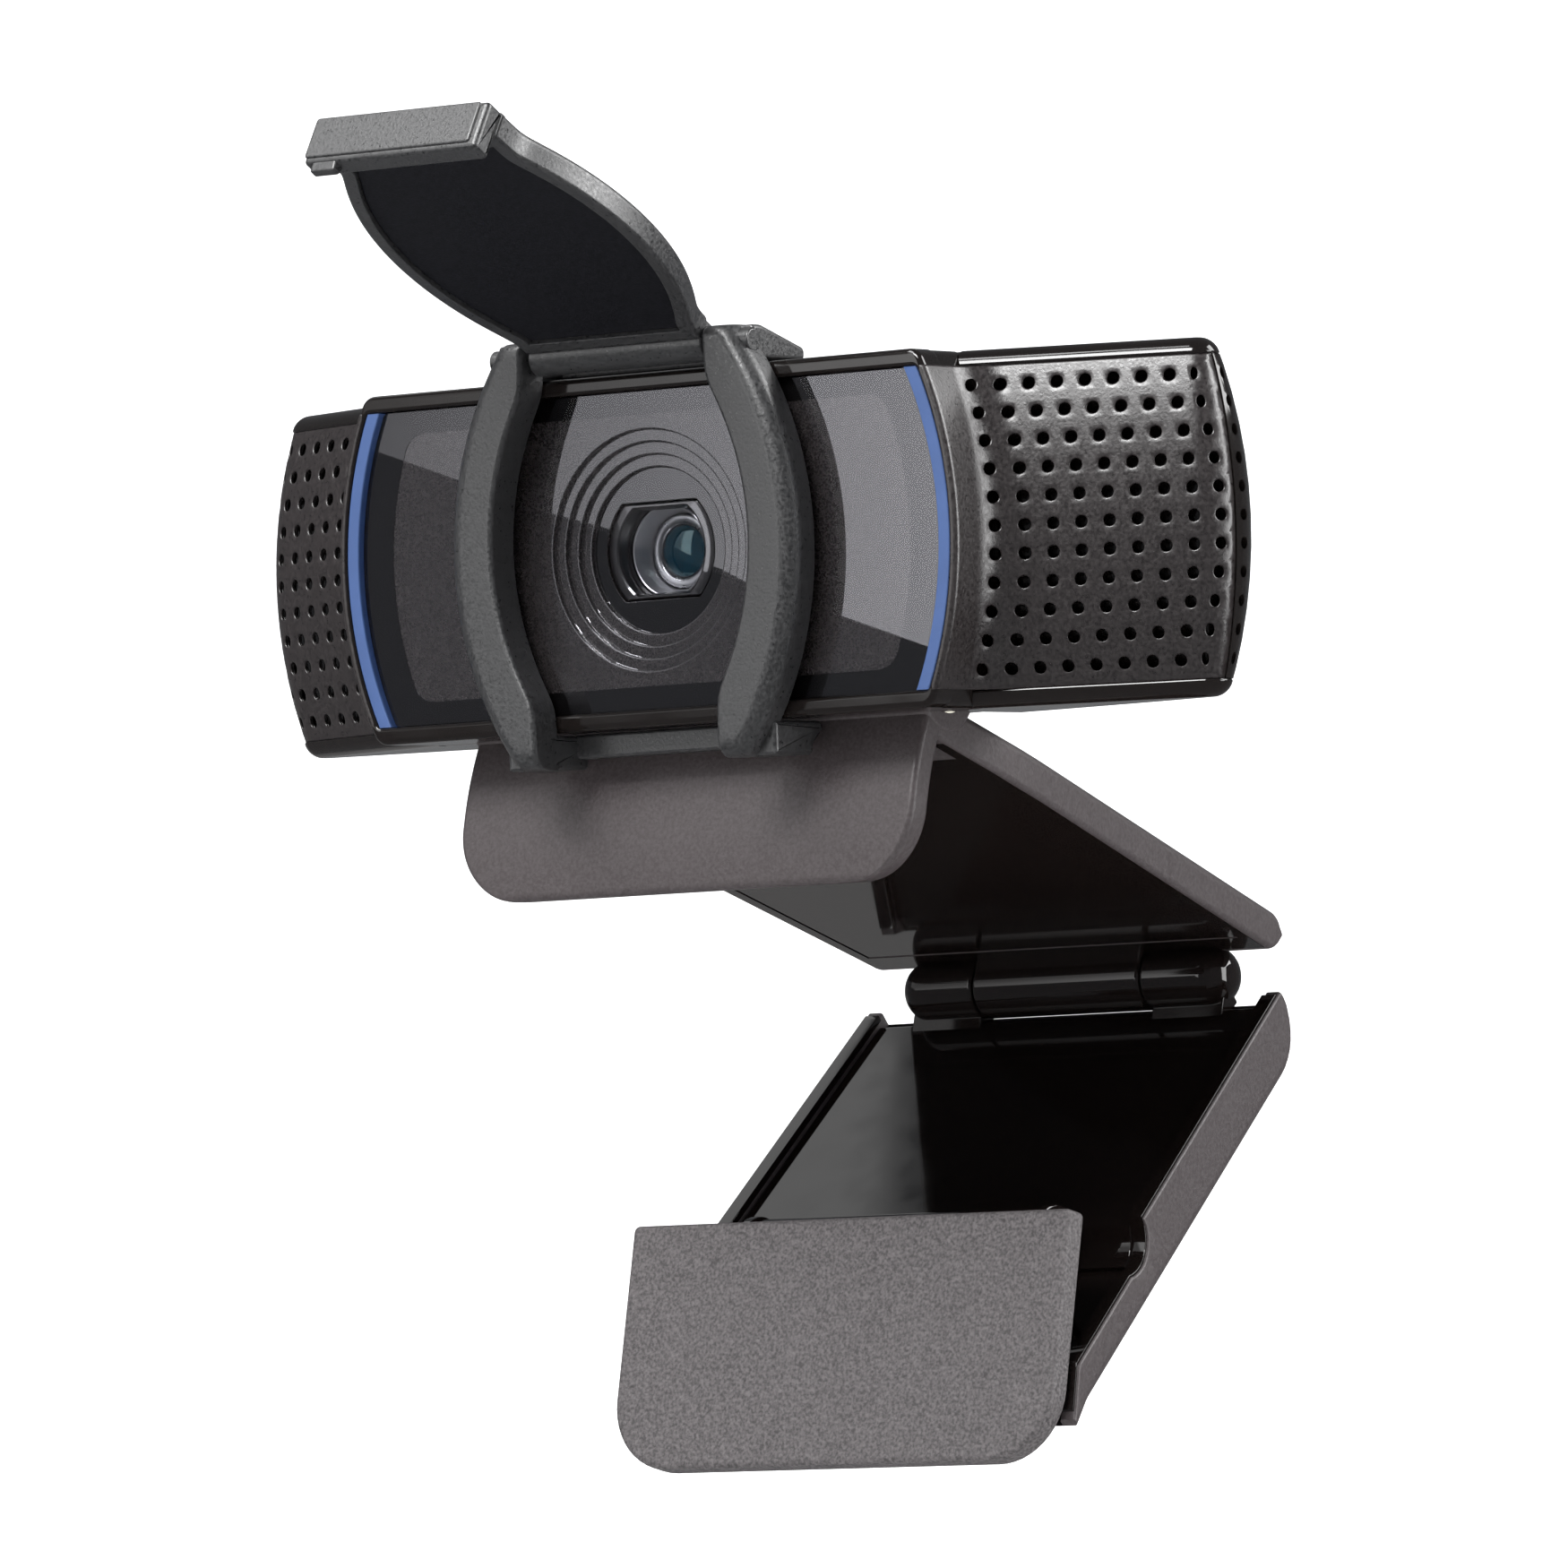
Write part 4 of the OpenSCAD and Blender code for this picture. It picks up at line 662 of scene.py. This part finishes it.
def window_band():
    """The dark border printed under the pane: a thin flat ring from the pane's rim in to a smaller bowed outline."""
    outer, inner = bow(31.5, 13.0, 0.5), bow(28.35, 11.15, 2.2)
    rows = [(outer, 0.56), (outer, 0.59), (inner, 0.59), (inner, 0.56)]
    return skin(np.stack([upright(o, y, "y") for o, y in rows]), along=True)


# ink printed on the pane's inner face: the deepest black of the head, under the pane's mirror
band_look = finish("black printed border", "#050404", 0.5, swing=0.02, Specular_IOR_Level=0.1,
                   grain=[("noise", 2, 0.002)], **BEHIND_PANE)
piece("pane_border", window_band(), HEAD, "head", "bezel_gloss", look=band_look)


# ---------------------------------------------------------------- lens

def flats(r, f):
    """Radius of a circle cut by two flats, above and below."""
    return lambda a: np.minimum(r, f / (np.abs(np.sin(a)) + 1e-9))


def bezel():
    """The lens's bezel: a drum with two flats, a rounded brow and a funnel that narrows to the lens."""
    y = 2.3
    rows = [(flats(5.45, 3.95), 5.6), (flats(5.45, 3.95), y + 0.25), (flats(5.38, 3.88), y + 0.08),
            (flats(5.2, 3.8), y), (flats(4.6, 3.66), y), (flats(4.45, 3.6), y + 0.08), (flats(4.35, 3.5), y + 0.3)]
    rows += [(flats(4.3, 3.45), 3.4), (flats(4.25, 3.4), 3.5)]
    rows += [(flats(r, 9), d) for r, d in ((4.0, 3.5), (3.96, 3.7), (3.9, 5.6))]
    return skin(rim_grid(rows, 160), along=True)


piece("bezel_drum", bezel(), HEAD, "head", "bezel_gloss", "lens_bezel", sharp=28)
recess = [(flats(5.6, 4.08), 2.275), (flats(6.76, 9), 2.275), (flats(6.76, 9), 2.25), (flats(5.6, 4.08), 2.25)]
piece("recess_floor", skin(rim_grid(recess, 160), along=True), HEAD, "head", "bezel_gloss", look=band_look)
# brushed aluminium: a pale satin cone that lights up round the lens
cone_look = finish("brushed aluminium", "#b4b4b6", 0.32, Metallic=0.85, swing=0.04, swing_mm=0.6,
                   grain=[("noise", 0.12, 0.006)])
cone = [(5.5, 3.88), (3.62, 3.88), (3.5, 3.84), (3.46, 3.76), (3.5, 3.68), (4.9, 3.22), (5.5, 3.12)]
piece("lens_funnel", turned(cone, along=True, cols=96), HEAD, "head", "bezel_gloss", look=cone_look, sharp=40)
ring = [(5.6, 3.06), (5.25, 3.06), (5.14, 3.0), (5.1, 2.86), (5.12, 2.5), (5.2, 2.3), (5.42, 2.2), (5.6, 2.12)]
piece("lens_trim", turned(ring, along=True, cols=96), HEAD, "lens", "ring_chrome", "lens_ring", sharp=60)
barrel = [(5.9, 3.86), (5.95, 3.9), (12.1, 3.9), (12.2, 3.8), (12.2, 1.95), (5.5, 1.95), (5.35, 2.2), (5.5, 2.6),
          (5.62, 2.98), (5.88, 3.04)]
piece("lens_sleeve", turned(barrel, along=True, cols=72), HEAD, "lens", "lens_plastic", "lens_barrel")
a = np.linspace(0, math.asin(2.15 / 5.8), 14)
dome = np.stack([5.02 + 5.8 * (1 - np.cos(a)), 5.8 * np.sin(a) + 1e-4], -1)
piece("lens_front_glass", turned(np.concatenate([dome, [(6.2, 2.15), (6.9, 2.1)]]), cols=72), HEAD, "lens",
      "lens_glass", "front_lens")


# ---------------------------------------------------------------- shutter

BAR_FRONT, BAR_BACK, GAP_MID, GAP_END, BOW_R = 3.6, 0.4, 13.1, 9.3, 23.46
TOP = 17.55


def gap_x(z, clear=0.0):
    """Half width of the opening between the bars: an arc bowed outward, and a straight part above and below it,
    blended where they meet."""
    z = np.clip(np.asarray(z, float) - 0.5, -20, 20)
    bowed, even = GAP_MID - BOW_R + np.sqrt((BOW_R - clear) ** 2 - z ** 2), GAP_END - clear
    return (bowed + even + np.sqrt((bowed - even) ** 2 + 0.3)) / 2


def bar():
    """One shutter bar: a section with a broad outer round and a small inner one, carried up between the bowed inner
    and outer lines, and drawn in at the ends by quarter circles."""
    z = np.concatenate([-TOP + 1.5 * (1 - np.cos(np.linspace(0, math.pi / 2, 8))), np.linspace(-15.6, 16.4, 44),
                        TOP - 1.0 * (1 - np.cos(np.linspace(math.pi / 2, 0, 7)))])
    rows = []
    for h in z:
        x0, x1 = float(gap_x(h)), 17.8 - 28.5 + math.sqrt(28.5 ** 2 - h * h)
        low, high = max(h + TOP, 0), max(TOP - h, 0)
        front = BAR_FRONT - (1.5 - math.sqrt(max(1.5 ** 2 - (1.5 - min(low, 1.5)) ** 2, 0)))
        front -= 1.0 - math.sqrt(max(1.0 - (1.0 - min(high, 1.0)) ** 2, 0))
        deep = front - BAR_BACK
        outer, inner = min(1.6, 0.49 * (x1 - x0), deep * 0.9), min(0.45, deep * 0.4)
        section = rounded([(x0, -BAR_BACK), (x0, -front), (x1, -front), (x1, -BAR_BACK)],
                          [0.2, inner, outer, 0.2], 6)
        rows.append(upright(section, h, "z"))
    return skin(np.stack(rows))


def shutter():
    """Two bars, each with an ear over the head's top and a hook under its bottom, joined by cross pieces."""
    ear = rounded([(-1.5, 14.7), (5.4, 14.7), (5.4, 15.75), (-0.3, 17.5), (-1.5, 17.5)], [0.3, 0.45, 0.5, 1.6, 0.3])
    hook = rounded([(-1.5, -17.5), (3.7, -17.5), (3.7, -16.6), (5.0, -15.5), (5.0, -14.7), (-1.5, -14.7)],
                   [0.3, 0.5, 0.5, 0.3, 0.3, 0.3])
    shapes = both(bar())
    shapes += both(slab(ear, 9.32, 13.2, 0.35, "x")) + both(slab(hook, 9.32, 13.8, 0.35, "x"))
    return shapes + [slab(rounded(box(2.1, low, 4.2, high), 0.3), -9.7, 9.7, 0.1, "x")
                     for low, high in ((14.65, 16.05), (-16.65, -14.65))]


piece("shutter_bars", shutter(), HEAD, "head", "shutter_plastic", "shutter_frame")
pivot = turned(rod_rows(10.0, 13.32, 0.95, 0.12), "x", 32, (-1.6, 16.2))
piece("pivot_caps", both(pivot), HEAD, "head", "shutter_plastic")


def flap_outline(t):
    """The flap's outline in its own frame, anticlockwise, drawn in by t: bowed sides and a straight root and tail."""
    z = np.linspace(-15.2 + t, 14.75 - t, 60)
    x = gap_x(z, 0.35 + t)
    side = np.stack([x, z - 16.2], -1)
    return np.concatenate([side, side[::-1] * (-1, 1)])


def flap():
    """The flap: a plate with a rounded front, a shallow tray in its rear face and a round root; its square tab has a
    raised face plate and a small grip under one end."""
    outline, tray = flap_outline(0), flap_outline(1.3)
    rows = [(inset(outline, t), h) for t, h in edge_rows(-1.8, 0.5, 0.6, 0.3)[:-1]]
    rows += [(inset(tray, -0.1), 0.5), (inset(tray, -0.05), 0.5), (tray, 0.44), (tray, -0.3)]
    plate = skin(np.stack([upright(o, h, "y") for o, h in rows]))
    root = turned(rod_rows(-8.95, 8.95, 1.45, 0.2), "x", 40)
    neck = slab(rounded(box(-1.4, -2.1, 0, 0), 0.1), -8.9, 8.9, 0.1, "x")
    tab = slab(rounded(box(-1.8, -33.32, 2.6, -31.4), [0.4, 0.4, 0.25, 0.25]), -8.8, 8.8, 0.4, "x")
    face = slab(rounded(box(-8.75, -1.7, 8.05, 2.12), 0.3), -33.5, -33.2, 0.16, "z", 0.02)
    grip = slab(rounded([(2.3, -33.2), (3.3, -33.1), (3.3, -32.3), (2.3, -32.0)], 0.2), -8.0, -5.5, 0.2, "x")
    brow = slab(rounded(box(-1.8, -31.6, 0.5, -30.9), 0.15), -8.8, 8.8, 0.2, "x")
    return [plate, root, neck, tab, face, grip, brow]


piece("flap_plate", flap(), FLAP, "flap", "shutter_plastic", "shutter_flap")
lining = slab(flap_outline(1.36), -0.45, 0.14, 0.12)
piece("flap_inlay", lining, FLAP, "flap", "lining_plastic", "flap_lining")


# ---------------------------------------------------------------- clip

CLIP_W, ARM_W, ARM_REAR_W, ARM_T, ARM_BACK = 23.3, 23.2, 20.6, 3.3, 41.0
LIP_R, LIP_T, LIP_AT, LIP_CORNER = 29.3, 2.3, (12.55, -7.2), 6.0


def lip():
    """The lip: a rounded section carried up an arc, its half width following round lower corners, drawn in at the
    lower edge by a quarter circle."""
    soft = 0.5
    d = np.concatenate([LIP_CORNER * (1 - np.cos(np.linspace(0, math.pi / 2, 20))), np.linspace(6.4, 13.4, 16)])
    rows = []
    for h in np.concatenate([[0.0, 0.03, 0.1, 0.2], d[d > 0.25]]):
        w = CLIP_W - LIP_CORNER + math.sqrt(LIP_CORNER ** 2 - (LIP_CORNER - min(h, LIP_CORNER)) ** 2)
        t = soft - math.sqrt(soft ** 2 - (soft - min(h, soft)) ** 2)
        low, high = LIP_R - LIP_T + t, LIP_R - t
        corner = min(soft, (high - low) / 2 - 0.02)
        section = rounded([(w, low), (w, high), (-w, high), (-w, low)], corner, 5)
        a = np.arcsin(min(h / 28.2, 1))
        rows.append(np.stack([section[:, 0], LIP_AT[0] - section[:, 1] * np.cos(a),
                              LIP_AT[1] + section[:, 1] * np.sin(a)], -1))
    return skin(np.stack(rows))


def arm_w(y):
    """Half width of the arm: even under the head, then tapering to the hinge."""
    return ARM_W + (ARM_REAR_W - ARM_W) * np.clip(y / ARM_BACK, 0, 1)


PANEL_FRONT, PANEL_BACK, RAIL = -8.0, HINGE_BACK - 3.6, 1.5


def arm():
    """The arm: a rounded section with a channel in its underside for the panel, carried back as it narrows, and
    ending in a half circle."""
    end = ARM_BACK - ARM_T / 2
    y = np.concatenate([[-13.4, -12.0, PANEL_FRONT, PANEL_FRONT], np.linspace(-4, PANEL_BACK, 16),
                        [PANEL_BACK, PANEL_BACK + 1.4], end + ARM_T / 2 * np.sin(np.linspace(0, math.pi / 2, 10))])
    deep = np.zeros(len(y))
    deep[3:20] = 1.35
    rows = []
    for v, channel in zip(y, deep):
        w = float(arm_w(v))
        h = math.sqrt(max((ARM_T / 2) ** 2 - max(v - end, 0) ** 2, 0.0004))
        low, high = ARM_T / 2 - h, ARM_T / 2 + h
        r = min(0.85, h * 0.9)
        c = w - RAIL
        bar_part = rounded([(w, low), (w, high), (-w, high), (-w, low)], [min(r, 0.5), r, r, min(r, 0.5)], 5)
        rim = [(c + 0.06, low), (c, low + min(channel, 0.06)), (c, low + channel)]
        section = np.concatenate([bar_part, [(-x, h) for x, h in rim], rim[::-1]])
        rows.append(upright(section, v, "y"))
    return skin(np.stack(rows))


def knuckle():
    """The middle knuckle, a rod with softly rounded ends, on its web."""
    web = slab(rounded(box(-2.5, 0.2, 1.2, HINGE_DROP + 1.2), 0.25), -8.65, 8.65, 0.2, "x")
    return [turned(rod_rows(-8.7, 8.7, 2.6, 0.3), "x", 72), web]


piece("clip_body", [lip()], ROW, "clip", "clip_plastic", "clip_arm")
piece("clip_plate", arm(), ARM, "clip", "clip_plastic", "clip_arm")
rod = piece("tilt_rod", turned(rod_rows(-23.38, 23.38, 3.7, 0.3), "x", 96, TILT_AT), HEAD, "clip", "clip_plastic")
cut(rod, both(turned([(19.2, 2.2), (25, 2.2)], "x", 48, TILT_AT)), HEAD)
piece("clip_knuckle", knuckle(), (placed((0, HINGE_BACK, -HINGE_DROP), ARM), -19.2), "clip", "panel_gloss")


def taper_slab(low_w, y, z0, z1, edge):
    """A plate with rounded rims whose outline is a taper, given by its half widths along y."""
    right = np.stack([low_w, y], -1)
    outline = np.concatenate([right, right[::-1] * (-1, 1)])
    return slab(outline, z0, z1, edge, "z")


def arm_edge():
    """The black edge of the arm's underside: a thin flat strip outside the panel, down each side."""
    y = np.linspace(-11.5, EDGE_BACK, 8)
    strip = [np.stack([arm_w(y) + x, y, np.full(len(y), z)], -1)
             for x, z in box(-0.42, -0.03, -RAIL - 0.02, EDGE_T)]
    return both(skin(np.stack(strip, 1)))


EDGE_T, EDGE_BACK = 0.4, ARM_BACK - 1.8
piece("arm_rim", arm_edge(), ARM, "clip", "panel_gloss")
y_tail = np.array([PANEL_BACK + 0.02, EDGE_BACK])
piece("arm_tail", taper_slab(arm_w(y_tail) - RAIL + 0.02, y_tail, -0.03, EDGE_T, 0.02), ARM, "clip", "panel_gloss")
y_panel = np.array([PANEL_FRONT + 0.06, 0.0, PANEL_BACK - 0.06])
piece("arm_underside", taper_slab(arm_w(y_panel) - RAIL - 0.08, y_panel, 0.03, 1.3, 0.12), ARM, "clip",
      "panel_gloss", "arm_panel")


# ---------------------------------------------------------------- leg

LEG_W, LEG_W_END, LEG_LEN, LEG_START, LEG_OUT, LEG_ROUND, LEG_RAIL = 21.6, 23.2, 49.6, 1.1, 6.9, 4.4, 1.55
HINGE_GAP, RIM_SET = 2.95, 0.2
EDGE_W, LOW_EDGE, FACE_W, LOW_FACE, TROUGH_R = 0.95, 3.25, 1.8, 4.1, 3.2
SLANT, SLANT_U, BACK_U = 1.3174, 42.33, 39.85


def leg_w(u):
    """Half width of the leg, which widens evenly from the hinge down."""
    return LEG_W + (LEG_W_END - LEG_W) * np.asarray(u, float) / LEG_LEN


def trough(u, before, after):
    """Depth of a face that runs level, dips round the foot's barrel and goes on at another level."""
    u = np.asarray(u, float)
    round_part = FOOT_W + np.sqrt(np.clip(TROUGH_R ** 2 - (u - FOOT_U) ** 2, 0, None))
    round_part = np.where(np.abs(u - FOOT_U) < TROUGH_R, round_part, -9)
    return np.maximum(np.where(u <= FOOT_U + 1e-6, before, after), round_part)


def leg_rows():
    """Places down the leg: close together round its upper corner and along the dip, wider apart between."""
    corner = LEG_START + LEG_ROUND * (1 - np.cos(np.linspace(0, math.pi / 2, 10)))
    dip = FOOT_U + TROUGH_R * np.sin(np.linspace(-1.44, 0.54, 22))
    return np.concatenate([corner, np.linspace(6.5, 29.5, 16), dip, np.linspace(35.4, 45.6, 8),
                           np.linspace(45.95, LEG_LEN, 8)])


def leg_edge(u):
    """Depth of the leg's front edge: level, dipping round the foot's barrel, and slanting back at the lower end."""
    return max(float(trough(u, EDGE_W, LOW_EDGE)), FOOT_W + (u - SLANT_U) / SLANT)


def leg_out(u):
    """Depth of the leg's outer face: level, behind a quarter circle at the upper end."""
    return LEG_OUT - LEG_ROUND + math.sqrt(LEG_ROUND ** 2 - max(LEG_START + LEG_ROUND - u, 0) ** 2)


def leg_front(u):
    """Depth of the inner panel's face: level, hollowed round both barrels, and slanting at the lower end."""
    level = LOW_FACE if abs(u - FOOT_U - 0.02) < 1e-9 else float(trough(u, FACE_W, LOW_FACE))
    return max(level, FOOT_W + (u - BACK_U) / SLANT, math.sqrt(max(HINGE_GAP ** 2 - u ** 2, 0)))


def leg_rims():
    """The panel's two raised borders: narrow bands along the leg's front edge, from the panel out to the cover's
    skin."""
    rows = []
    for u in leg_rows()[3:-1]:
        w, edge = float(leg_w(u)), leg_edge(u)
        band = rounded(box(w - LEG_RAIL - 0.05, edge, w - 0.16, min(edge + 0.6, leg_out(u) - 0.05)), 0.06, 3)
        rows.append(upright(band, u, "y"))
    return both(skin(np.stack(rows)))


def leg_tray():
    """The leg: a tray section, broad rounds outside and narrow rails, carried down the leg; its rail edge dips round
    the foot's barrel and ends on a slant, and its upper outer corner is a quarter circle."""
    rows = []
    for u in leg_rows():
        w = float(leg_w(u))
        edge, out = leg_edge(u) + RIM_SET, leg_out(u)
        floor = max(min(leg_front(u) + 0.5, out - 0.02), edge + 0.001)
        r = min(1.3, (out - edge) * 0.45)
        q = min(0.3, (out - edge) * 0.3)
        c = w - LEG_RAIL
        rail = [(c + 0.15, edge), (c, edge + min(0.15, (floor - edge) / 2)), (c, floor)]
        outside = rounded([(w, edge), (w, out), (-w, out), (-w, edge)], [q, r, r, q], 6)
        rows.append(upright(np.concatenate([outside, [(-x, h) for x, h in rail], rail[::-1]]), u, "y"))
    return skin(np.stack(rows))


def leg_face():
    """The leg's inner panel: a plate that follows the tray, hollowed round the hinge's barrel and the foot's."""
    u = np.concatenate([[1.3, 1.34, 1.4], HINGE_GAP * np.sin(np.linspace(0.52, 0.91, 8)), [2.36, 2.44],
                        np.linspace(2.6, 29.5, 14),
                        FOOT_U + TROUGH_R * np.sin(np.linspace(-1.3, 0, 14)),
                        [FOOT_U + 0.02], np.linspace(34, 44.5, 8), np.linspace(44.7, 46.6, 5)])
    rows = []
    for v in u:
        w, face = float(leg_w(v)) - LEG_RAIL - 0.07, leg_front(v)
        deep = min(face + 0.9, leg_out(v) - 0.1)
        section = rounded([(w, face), (w, deep), (-w, deep), (-w, face)], [0.12, 0.05, 0.05, 0.12], 4)
        rows.append(upright(section, v, "y"))
    return skin(np.stack(rows))


def leg_knuckles():
    """The leg's two knuckles: rods with a rounded inner end and a domed outer one, each on a web to the leg."""
    rows = edge_rows(8.85, 16.8, 0.25, 2.1, 9)
    rod = turned(np.stack([rows[:, 1], 2.6 - rows[:, 0]], -1), "x", 72)
    web = slab(rounded([(0.4, 0.4), (1.9, 1.0), (3.3, 1.95), (3.4, 2.6), (0.4, 2.6)], 0.15), 8.95, 16.2, 0.12, "x")
    return both(rod) + both(web)


tray = piece("leg_tray", leg_tray(), LEG, "leg", "clip_plastic", "leg_cover")
leg_holes = [turned([(2.4, 4.2), (8, 4.2)], "z", 64, (0, 18))]
leg_holes += [shape for u in (8, 26) for shape in both(turned([(5.2, 1.5), (8, 1.5)], "z", 32, (15, u)))]
cut(tray, leg_holes, LEG)
piece("leg_hinge", leg_knuckles(), LEG, "leg", "panel_gloss", "leg_cover")
piece("leg_inner", leg_face(), LEG, "leg", "panel_gloss", "leg_panel")
piece("leg_border", leg_rims(), LEG, "leg", "panel_gloss")
cheek = turned(rod_rows(14.72, 15.78, 2.95, 0.2), "x", 48)
piece("leg_cheeks", both(cheek), FOOT, "leg", "panel_gloss")


# ---------------------------------------------------------------- foot

def foot_back():
    """The foot's core: the barrel with rounded ends, the plate behind the pad and the neck between them."""
    barrel = turned(rod_rows(-14.48, 14.48, 2.7, 0.35), "x", 72)
    neck = slab(rounded([(-5.9, 0.3), (-5.9, -4.0), (-4.3, -4.0), (-1.0, -2.2), (-1.0, 2.0), (-4.3, 0.3)][::-1],
                        [0.1, 0.4, 0.4, 0.3, 0.1, 0.1]), -14.2, 14.2, 0.15, "x")
    plate = slab(rounded(box(-20.3, -19.35, 20.3, 0.3), [3.5, 3.5, 0.6, 0.6]), -6.0, -4.3, 0.1, "y", 0.4)
    return [barrel, neck, plate]


def pad():
    """The foot's pad: a plate with two large lower corners and two small upper ones, both rims rounded."""
    return slab(rounded(box(-22.6, -20.15, 22.6, 0.8), [6, 6, 0.55, 0.55], 12), -8.0, -5.8, 0.45, "y", 0.3)


piece("foot_core", foot_back(), FOOT, "foot", "panel_gloss", "foot_backing")
piece("foot_cushion", pad(), FOOT, "foot", "foot_rubber", "foot_pad")


# each finished piece takes its shading from its larger faces, so a flat face stays flat beside a rounded edge
for obj in finished:
    even = obj.modifiers.new("even shading", "WEIGHTED_NORMAL")
    even.mode, even.weight, even.keep_sharp = "FACE_AREA", 60, True


# ---------------------------------------------------------------- finishes of the frame's own pieces

for part in frame["record"]["subparts"]:
    node = frame["nodes"][part["node"]]
    node.data.materials.clear()
    node.data.materials.append(looks[part["material_slot"]])


# ---------------------------------------------------------------- studio

def stage_mesh(name, grid, look):
    """A sheet of the studio, given by a grid of points in metres."""
    mesh = bpy.data.meshes.new(name)
    points, faces = skin(grid, around=False, caps=False)
    mesh.from_pydata(points.tolist(), [], faces)
    mesh.shade_smooth()
    mesh.materials.append(look)
    obj = shown(name, mesh)
    return obj


def glow(name, colour, strength):
    """A plain light-giving surface."""
    m, tree = blank(name)
    light = add(tree, "Emission", Color=linear(colour), Strength=strength)
    add(tree, "OutputMaterial", {"Surface": light.outputs["Emission"]})
    return m


# matt paper that glows a little: an even white with soft shadows
paper = finish("white studio paper", "#f4f4f4", 0.9, Emission_Color=linear("#ffffff"), Emission_Strength=0.8,
               grain=[("noise", 1.5, 0.01)])
FLOOR_Z = -0.075
t = np.linspace(0, math.pi / 2, 12)
sweep_y = np.concatenate([[-2.2, -0.6, 0.8], 1.2 + 0.5 * np.sin(t), [1.7]])
sweep_z = np.concatenate([[0, 0, 0], 0.5 * (1 - np.cos(t)), [2.2]]) + FLOOR_Z
floor_x = np.linspace(-2.4, 2.4, 9)
sweep = stage_mesh("floor", np.stack(np.broadcast_arrays(floor_x[:, None], sweep_y, sweep_z), -1), paper)
sweep.visible_glossy = False

AZIMUTH, ELEVATION, ROLL, DISTANCE = math.radians(36.93), math.radians(-2.01), math.radians(-2.28), 1.0941
back = Vector((math.sin(AZIMUTH) * math.cos(ELEVATION), -math.cos(AZIMUTH) * math.cos(ELEVATION), math.sin(ELEVATION)))
right = Vector((math.cos(AZIMUTH), math.sin(AZIMUTH), 0))
up = back.cross(right)
side, top = right * math.cos(ROLL) + up * math.sin(ROLL), -right * math.sin(ROLL) + up * math.cos(ROLL)
target = Vector((0.01334, -0.020, 0.00098))
camera = shown("camera", bpy.data.cameras.new("camera"))
camera.matrix_world = Matrix.Translation(target + back * DISTANCE) @ Matrix((side, top, back)).transposed().to_4x4()
camera.data.sensor_width, camera.data.lens = 36.0, 309.888
camera.data.clip_start, camera.data.clip_end = 0.05, 10
bpy.context.scene.camera = camera


def lamp(name, place, size, power):
    """A soft rectangular white lamp at a place in metres, turned to face the origin."""
    data = bpy.data.lights.new(name, "AREA")
    data.shape, data.size, data.size_y, data.energy = "RECTANGLE", size[0], size[1], power
    obj = shown(name, data)
    obj.location = place
    obj.rotation_euler = (-Vector(place)).to_track_quat("-Z", "Y").to_euler()
    return obj


lamp("key", (0.05, -0.8, 0.8), (0.55, 0.35), 14)
lamp("left top", (-0.3, -0.46, 0.84), (0.42, 0.42), 6)
lamp("right", (0.92, 0.3, 0.15), (0.4, 0.7), 6.5)
lamp("rim", (0.72, 0.62, 0.6), (0.5, 0.6), 8.5)
fill = lamp("fill", (-0.75, -0.95, 0.1), (0.6, 0.9), 1.1)
fill.visible_glossy = False


def card_look():
    """Light that grows across the card, from its left end to its right."""
    m = glow("lit card", "#ffffff", 1.0)
    tree = m.node_tree
    spot = add(tree, "SeparateXYZ", {"Vector": add(tree, "TexCoord").outputs["Object"]})
    span = add(tree, "MapRange", {"Value": spot.outputs["X"]}, From_Min=-0.66, From_Max=-0.55, To_Min=0.75, To_Max=2.75)
    tree.links.new(span.outputs["Result"], tree.nodes["Emission"].inputs["Strength"])
    return m


card_x = np.array([-1.3, -0.30])
card_low = 0.0913 - 0.407 * (card_x + 0.65)
card = stage_mesh("card", np.stack([np.stack([card_x, -0.80 - 0.287 * (card_x + 0.65), z], -1)
                                    for z in (card_low, np.full(2, 0.75))]), card_look())


def level_card(name, x, y, z, strength):
    """A level lit card between two places across and two along."""
    grid = [[(x0, y0, z) for x0 in x] for y0 in y]
    return stage_mesh(name, np.array(grid), glow("lit " + name, "#ffffff", strength))


side_card = level_card("side card", (-0.9, -0.5605), (0.02, 0.5), 0.7, 1.15)
low_card = level_card("low card", (-1.2, -0.06), (0.06, 1.2), FLOOR_Z + 0.0005, 0.3)
for panel in (card, side_card, low_card):
    panel.visible_camera = panel.visible_diffuse = panel.visible_shadow = panel.visible_transmission = False

world = bpy.data.worlds.new("studio air")
world.use_nodes = True
world.node_tree.nodes["Background"].inputs["Color"].default_value = linear("#c8cbd0")
world.node_tree.nodes["Background"].inputs["Strength"].default_value = 0.25
bpy.context.scene.world = world
bpy.context.scene.view_settings.view_transform = "Standard"
